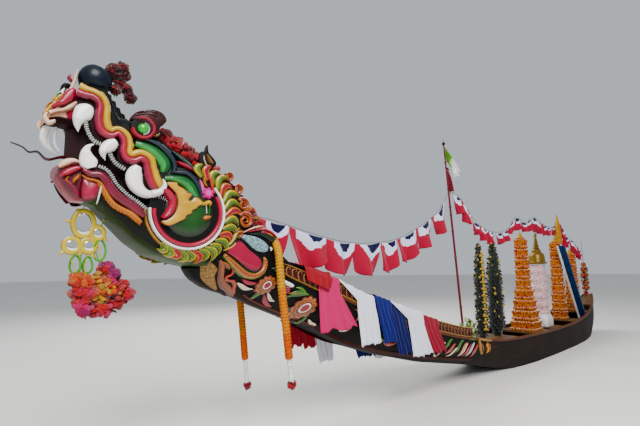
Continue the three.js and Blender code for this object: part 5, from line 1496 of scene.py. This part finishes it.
# How high a cloth stands between the rails, how far inboard of them that starts, and its gap to what it
# lies on: the rail's outer edge, from the half beam, and the fretwork's top, from the sheer
CROWN, INBOARD, LAID = 0.06, 0.06, 0.004
RAIL_EDGE, FRET_TOP = 0.0153, 0.1859


def drape(x):
    """What a cloth lies over at x: half breadth of the side, height of the top edge."""
    _, sheer, half, _ = hull_at(x).T
    on_neck = x > NECK_START
    side = np.where(on_neck, neck_half(x), half) + RAIL_EDGE
    return side, np.where(on_neck, neck_top(x) + HAIR, sheer + FRET_TOP)


def make_cloths():
    """Each cloth is a gathered sheet over the bow: folds run down it, flat on top and deep at the hems."""
    for k, (name, hem, upper, reach, low, port_hem, stbd_hem, shade_and_lit_tones, far) in enumerate(CLOTHS):
        t = linspace(0, 1, 56)
        hem, upper, low = (a + (b - a) * t for a, b in (hem, upper, low))
        throat, upper = upper, upper + reach * t
        over = (upper + low) / 2
        (side, top), (side2, top2), (side1, top1) = drape(upper), drape(over), drape(throat)
        lift = 0.02 * (k % 2)
        side0, side3 = drape(hem)[0], drape(low)[0]
        port_hem = top - port_hem if port_hem < 0.2 else port_hem
        phase = rng.uniform(0, 6)
        wave = np.abs(0.03 * sin(5 * t + phase) + 0.012 * sin(17 * t + phase * 2))
        rise = CROWN if far is None else 2 * CROWN
        corner = [
            (hem, maximum(side1, side0) + LAID, port_hem + wave), (throat, side1 + LAID + lift, top1 - 0.12),
            (upper, side + LAID + lift, top + LAID + lift),
            (upper, side - INBOARD, top + 0.006 + lift),
            ((upper + over) / 2, 0 * side, (top + top2) / 2 + rise),
            (over, INBOARD - side2, top2 + 0.006), (over, -side2 - LAID, top2 + LAID),
            (low, -maximum(side2, side3) - LAID, stbd_hem + wave),
        ]
        path = stack([stack(c, -1) for c in corner], 0)
        steps = np.linalg.norm(np.diff(path, axis=0), axis=2).mean(1)
        walk = concatenate([[0], np.cumsum(steps)])
        s = linspace(0, walk[-1], 120)
        sheet = stack([stack([interp(s, walk, path[:, j, axis]) for axis in range(3)], -1)
                       for j in range(len(t))], 1)
        down = np.minimum(1, maximum(0, (walk[2] - s) / walk[2]) + maximum(0, (s - walk[-2]) / steps[-1]))
        fold = 0.5 + 0.5 * sin(2 * pi * (3.5 * t[None] + 0.35 * sin(4 * s[:, None] + phase)) + phase)
        fold = fold * 0.75 + 0.25 * (0.5 + 0.5 * sin(2 * pi * 9 * t[None] + phase + 2 * s[:, None]))
        out = (0.002 + 0.026 * down[:, None] ** 0.7) * fold
        sheet[..., 1] += np.where(s[:, None] < walk[-1] / 2, 1, -1) * out * (down[:, None] > 0)
        sheet[..., 2] += np.where((down == 0)[:, None], 0.012 * fold, 0)
        made = plain_sheet(f"{name}_folds_{k}", sheet, cloth_finish(f"{name}_{k}", *shade_and_lit_tones, far), [name])


def bare_sheet(name, points, faces, uv, finish, nodes):
    """A sheet of cloth from loose points and faces, given its thickness by a Solidify modifier."""
    made = smooth(name, points, faces.tolist(), uv[faces.reshape(-1)], [finish])
    wall = made.modifiers.new("thickness", "SOLIDIFY")
    wall.thickness = CLOTH_THICK
    wall.offset = 0.0
    return dressed(made, nodes)


def plain_sheet(name, points, finish, nodes):
    """A sheet of cloth from rows and columns of points; u runs across its width and v down its length."""
    p, faces, uv = grid(points)
    return bare_sheet(name, p, faces, uv[:, ::-1], finish, nodes)


# Mast, flags and bunting
MAST_FOOT, MAST_TOP = array([3.95, 0.0]), array([4.37, 4.02])


def mast_x(z):
    """The mast's x at a height, as it leans forward."""
    return interp(z, [MAST_FOOT[1], MAST_TOP[1]], [MAST_FOOT[0], MAST_TOP[0]])


def make_mast():
    """A pole that thins upwards, bindings, a knob under a thin spike, and a short staff lashed aft of it."""
    def pole(heights, radius, aft=0.0, sides=16):
        """A rod along the mast's line, or that far aft of it."""
        heights = np.asarray(heights, float)
        return tube(column_stack([mast_x(heights) - aft, heights * 0, heights]), radius, sides)

    heights = linspace(0.596, 3.92, 120)
    shapes = [(pole(heights, interp(heights, [0.6, 2.6, 3.92], [0.0205, 0.018, 0.012])), MAST_PAINT),
              (pole([3.90, 3.91, 3.94, 3.95], [0.012, 0.027, 0.027, 0.01]), BLACK),
              (pole([3.94, 4.02], [0.005, 0.003], 0.0, 8), BLACK),
              (pole([3.05, 3.52], [0.007, 0.006], 0.06, 8), MAST_PAINT)]
    for z in (3.11, 3.49):
        arm = [[mast_x(z) + 0.02, 0, z + 0.01], [mast_x(z) - 0.08, 0, z - 0.01]]
        shapes.append((tube(arm, 0.013, 8), BLACK))
    shapes += [(pole(z + array([-0.012, -0.006, 0.006, 0.012]), [0.0215, 0.026, 0.026, 0.0215]), DARK_RED)
               for z in (0.72, 1.1, 1.5, 1.95, 2.4, 2.68, 2.82, 3.6)]
    piece("mast_banded", shapes, ["mast"])


# Bunting: rows of x, height of its string and height of its hem; then where one flag ends and the next
# starts
BUNTING_FORE = metres("8300 2360 2110, 8070 2335 1952, 7820 2285 1830, 7240 2170 1730, 6710 2120 1670,"
                      "6180 2150 1690, 5790 2210 1790, 5300 2380 1960, 4830 2600 2190, 4540 2790 2400,"
                      "4270 3090 2700")
BUNTING_AFT = metres("4240 3110 2740, 3920 3030 2700, 3760 2920 2620, 3390 2640 2400, 3050 2520 2270,"
                     "2750 2470 2230, 2360 2470 2230, 1980 2570 2360, 1640 2810 2540, 1480 2840 2560,"
                     "1030 2740 2530, 780 2850 2570, 530 2910 2570, 300 2850 2510, -110 2750 2500,"
                     "-570 2740 2520, -880 2860 2560, -1230 2820 2480, -1550 2580 2270, -2140 2400 2040,"
                     "-2700 2130 1880")
FLAGS_FORE = array([8.24, 7.83, 7.24, 6.72, 6.19, 5.80, 5.31, 4.84, 4.42])
FLAGS_AFT = linspace(4.14, -2.66, 23)


def make_bunting():
    """Flags on a string: each hangs from two corners, hollows, narrows downwards and is blown into folds."""
    for name, table, edges in (("bunting_fore", BUNTING_FORE, FLAGS_FORE),
                               ("bunting_aft", BUNTING_AFT, FLAGS_AFT)):
        order = curve(table[np.argsort(table[:, 0])], 200)
        s, t = linspace(0, 1, 25), linspace(0, 1, 21)[:, None]
        grids = []
        for k, (fore, aft) in enumerate(zip(edges[:-1], edges[1:])):
            x = aft + (fore - aft) * (s * 1.04 - 0.02)
            top = interp(x, order[:, 0], order[:, 1]) - 0.004
            phase, blow = rng.uniform(0, 6, 2)
            drop = (top - interp(x, order[:, 0], order[:, 2])).mean() * rng.uniform(0.94, 1.06)
            skew = 0.22 * sin(blow)
            fall = 1 + skew * (s - 0.5) - 0.15 * np.abs(2 * s - 1) ** 3
            low = top.mean() + (top - top.mean()) * 0.35 - drop * fall
            z = top + (low - top) * t - 0.025 * sin(pi * s) * (1 - t)
            squeeze = 1 - 0.22 * t ** 1.5
            xx = x.mean() + (x - x.mean()) * squeeze + 0.05 * t * sin(phase)
            y = (0.01 + 0.05 * t) * sin(2 * pi * (1.25 * s + 0.3 * t) + phase) + 0.012 * (k % 2 - 0.5)
            y = y + 0.012 * t * sin(2 * pi * 3.3 * s + blow)
            grids.append(stack([xx, broadcast_to(y, z.shape), z], -1))
        parts = [grid(g) for g in grids]
        points = concatenate([p for p, _, _ in parts])
        faces = concatenate([f + k * len(parts[0][0]) for k, (_, f, _) in enumerate(parts)])
        uv = concatenate([u[:, ::-1] for _, _, u in parts])
        made = bare_sheet(f"{name}_flags", points, faces, uv, BUNTING_CLOTH, [name])
        string = column_stack([order[:, 0], order[:, 0] * 0, order[:, 1]])
        line = piece(f"{name}_string", [(tube(string, 0.003, 6), STRING)], [])


# Flags on the mast: piece, cloth, x and z of both ends of the edge at the mast, those of its far edge,
# depth of folds
MAST_FLAGS = [
    ("pennant_upper", STREAMER_GREEN, "4335 3880, 3820 3500", "4290 3620, 3990 3360", 0.03),
    ("pennant_lower", STREAMER_RED, "4285 3450, 4262 3100", "4255 3470, 4050 3105", 0.02),
]


def make_mast_flags():
    """Two pennants, each between the line it leaves the mast by and its other edge, in soft folds."""
    s, t = linspace(0, 1, 33)[None], linspace(0, 1, 25)[:, None]
    for name, finish, near, far, deep in MAST_FLAGS:
        (a, b), (c, d) = metres(near), metres(far)
        x, z = ((a[k] * (1 - s) + b[k] * s) * (1 - t) + (c[k] * (1 - s) + d[k] * s) * t for k in (0, 1))
        y = deep * sin(2 * pi * (1.2 * t + 0.5 * s)) * (0.15 + s)
        x = x - 0.02 * sin(pi * s) * (t - 0.5)
        sheet = stack([x, y, z], -1).transpose(1, 0, 2)
        made = plain_sheet(name, sheet, finish, ["mast_flags"])


# Trees, towers, stupa and stern flowers

def make_trees():
    """Cones of dark leaves with small yellow flowers; the fore one has a yellow column beside it."""
    for name, x, foot, tip, radius in (("tree_fore", 3.33, 0.4823, 2.24, 0.105),
                                       ("tree_aft", 2.75, 0.4823, 2.31, 0.165)):
        tall = tip - foot
        profile = [(0.03, foot), (radius * 0.5, foot + 0.02), (radius * 0.55, foot + tall * 0.05),
                   (radius * 0.8, foot + tall * 0.1), (radius * 0.76, foot + tall * 0.5),
                   (radius * 0.5, foot + tall * 0.8), (0.004, tip - 0.02)]
        share = rng.random(1500) ** 0.9
        angle = rng.uniform(0, 2 * pi, 1500)
        z = foot + tall * (0.04 + 0.93 * share)
        r = interp(z, [p[1] for p in profile], [p[0] for p in profile]) * 0.98
        at = column_stack([x + r * cos(angle), r * sin(angle), z])
        way = column_stack([cos(angle), sin(angle), rng.uniform(-0.6, 0.4, 1500)])
        aim = np.cross(way, rng.normal(size=(1500, 3)))
        shapes = [(turned((x, 0), profile, 20), DARK_LEAVES), (repeat(leaf(), at, 0.055, aim), DARK_LEAVES)]
        share = np.arange(0.2, 0.97, 0.018)
        turn = 2.4 * np.arange(len(share)) + rng.uniform(-0.8, 0.8, len(share))
        zz = foot + tall * share
        rr = interp(zz, [p[1] for p in profile], [p[0] for p in profile]) + 0.02
        spots = column_stack([x + rr * cos(turn), rr * sin(turn), zz])
        shapes.append((repeat(bloom(), spots, rng.uniform(0.012, 0.03, len(zz)), way[:len(zz)]), YELLOW_BITS))
        if name == "tree_fore":
            shapes += [(turned((x + 0.04, 0.085),
                               [(0.001, z), (0.045, z + 0.01), (0.05, z + 0.03), (0.015, z + 0.05),
                                (0.02, z + 0.10), (0.001, z + 0.12)], 12), YELLOW_BITS)
                       for z in np.arange(0.64, 1.98, 0.12)]
        piece(f"{name}_leaves", shapes, [name])


# Towers: x, foot and tip height, half width of the lowest tier and of the upper ones
TOWERS = (("fore", 1.4, 0.4469, 2.54, 0.25, 0.125), ("mid", -0.65, 0.4986, 2.52, 0.15, 0.12),
          ("aft", -1.7, 0.6203, 2.25, 0.15, 0.13))
# A tier's profile from its foot up: share of its half width, share of its height, and whether the scallops
# cut into its edge and lift its rim
TIER = array([(0.84, 0.0, 0, 0), (0.98, 0.02, 1, 0), (1.0, 0.16, 1, 1), (0.9, 0.2, 0, 0), (0.88, 0.55, 0, 0),
              (0.94, 0.62, 0, 0), (0.97, 0.8, 1, 1), (0.8, 0.86, 0, 0), (0.7, 1.0, 0, 0)])


def make_towers():
    """Square paper boxes stacked nine high with scalloped rims, bells between them, and a spire."""
    angle = linspace(0, 2 * pi, 97) + pi / 4
    reach = 1 / maximum(np.abs(cos(angle)), np.abs(sin(angle)))
    scallop = np.abs(sin(angle * 16))
    share, rise, edge, rim = TIER.T[..., None]
    v = concatenate([[0], TIER[:, 1], [1]])
    for word, x, foot, tip, base, top in TOWERS:
        step = (tip - 0.16 - foot) / 9
        halves = [base + (top - base) * k / 4 if k < 4 else top * (1 - (k - 4) * 0.03) for k in range(9)]
        shapes = []
        for k, half in enumerate(halves):
            radius = half * share * (1 - 0.05 * scallop * edge)
            z = foot + step * k + step * rise + 0.02 * scallop * rim
            ring = stack([x + radius * cos(angle) * reach, radius * sin(angle) * reach, z], -1)
            rings = concatenate([ring[:1], ring, ring[-1:]])
            rings[[0, -1], :, :2] = (x, 0)
            p, f, _ = grid(rings)
            shapes.append(((p, f, column_stack([np.tile(linspace(0, 1, 97), 11), np.repeat(v, 97)])),
                           TIER_PAPER))
        spire = [(top * 0.5, tip - 0.165), (top * 0.55, tip - 0.15), (top * 0.3, tip - 0.11),
                 (top * 0.32, tip - 0.10), (top * 0.16, tip - 0.06), (0.004, tip)]
        shapes.append((turned((x, 0), spire, 20), CONE_PAPER))
        for k, half in enumerate(halves):
            for turn in range(4):
                c, s = cos(turn * pi / 2), sin(turn * pi / 2)
                spots = array([[x + c * half * 0.9 - s * half * w, s * half * 0.9 + c * half * w,
                                foot + step * k + step * 0.24] for w in (-0.55, 0, 0.55)])
                shapes.append((repeat(bloom(), spots, 0.02, broadcast_to([c, s, 0.2], (3, 3))), BOUQUET))
        if word == "mid":
            cone = [(0.002, 2.3), (0.075, 2.32), (0.07, 2.6), (0.045, 2.85), (0.008, 3.06), (0.001, 3.07)]
            shapes.append((turned((x - 0.1, 0.07), cone, 16), CONE_PAPER))
        piece(f"tower_{word}_tiers", shapes, [f"tower_{word}"])


def make_stupa():
    """A square foot, a ringed body and a gilded bell and spire, and the board that leans beside it."""
    x, foot, bell, tip = 0.56, 0.4538, 1.83, 2.57
    base = [(0.19, foot), (0.198, foot + 0.02), (0.198, foot + 0.17), (0.18, foot + 0.2),
            (0.165, foot + 0.26)]
    body = [(0.165, foot + 0.26)]
    count = 6
    for k in range(count):
        z0 = foot + 0.26 + (bell - foot - 0.26) * k / count
        z1 = foot + 0.26 + (bell - foot - 0.26) * (k + 1) / count
        r = 0.165 - 0.016 * k / count
        body += [(r, z0 + 0.005), (r, z0 + 0.05), (r * 0.9, z0 + 0.07), (r * 0.88, z1 - 0.04),
                 (r * 0.96, z1 - 0.02)]
    dome = [(0.16, bell - 0.01), (0.205, bell), (0.205, bell + 0.03), (0.178, bell + 0.05),
            (0.172, bell + 0.08), (0.165, bell + 0.16), (0.15, bell + 0.22), (0.12, bell + 0.25),
            (0.095, bell + 0.262), (0.1, bell + 0.3), (0.08, bell + 0.33)]
    for k in range(8):
        z = bell + 0.34 + k * 0.035
        r = 0.074 - k * 0.006
        dome += [(r * 0.8, z), (r, z + 0.012), (r * 0.8, z + 0.024)]
    dome += [(0.028, bell + 0.63), (0.04, bell + 0.65), (0.02, bell + 0.68), (0.004, tip)]
    shapes = [(turned((x, 0), base, 32, 1.0), WHITE_PAPER),
              (turned((x, 0), body, 32, 0.85), PALE_PAPER), (turned((x, 0), dome, 48), STUPA_GOLD)]
    piece("stupa_gilded", shapes, ["stupa"])
    board = array([[-0.25, 2.25], [-0.31, 2.25], [-1.52, 0.40], [-1.46, 0.40]])
    shapes = []
    for low, high, paint in ((0.16, 0.21, WHITE_PAPER), (0.21, 0.34, BOARD_BLUE)):
        shapes.append((upright(plate(board, high - low, 0.004, 0.0), high, -1), paint))
    piece("leaning_board", shapes)


def make_stern_plume():
    """Flowers and leaves up a thin stem at the stern."""
    x, foot = -2.78, 0.913
    clumps = [x, 0, foot, 0] + metres("0 0 100 60, 0 20 250 80, 0 0 420 100, -10 0 580 105, 0 10 740 90,"
                                      "0 0 880 60")
    at, way = strewn(clumps, 330)
    stem = array([[x, 0, foot + 0.006], [x, 0, foot + 0.5], [x, 0, foot + 1.56]])
    green, green_way = strewn(clumps, 60)
    shapes = [(tube(stem, [0.012, 0.01, 0.004], 8, 20), BROWN),
              (repeat(bloom(), at - way * 0.008, 0.028 * rng.uniform(0.8, 1.15, len(at)), way), WARM_BLOOMS),
              (repeat(leaf(), green - green_way * 0.02, 0.05, np.roll(green_way, 1, 1)), TUFTS)]
    shapes += hearts(clumps, [(0, -0.8), (0.75, 0), (0, 0.8)], DARK_LEAVES, 10)
    piece("stern_blooms", shapes, ["stern_plume"])


for make in (set_up_studio, make_garlands, make_hull, make_rails, dress_decks, make_head, make_mouth,
             make_jaw_plate, make_cheeks, make_eyes, make_chin_and_tongue, make_ridge, make_mane,
             make_name_plate, make_bow_carving, make_hull_carving, make_flowers, make_pendant, make_cloths,
             make_mast, make_bunting, make_mast_flags, make_trees, make_towers, make_stupa, make_stern_plume):
    make()
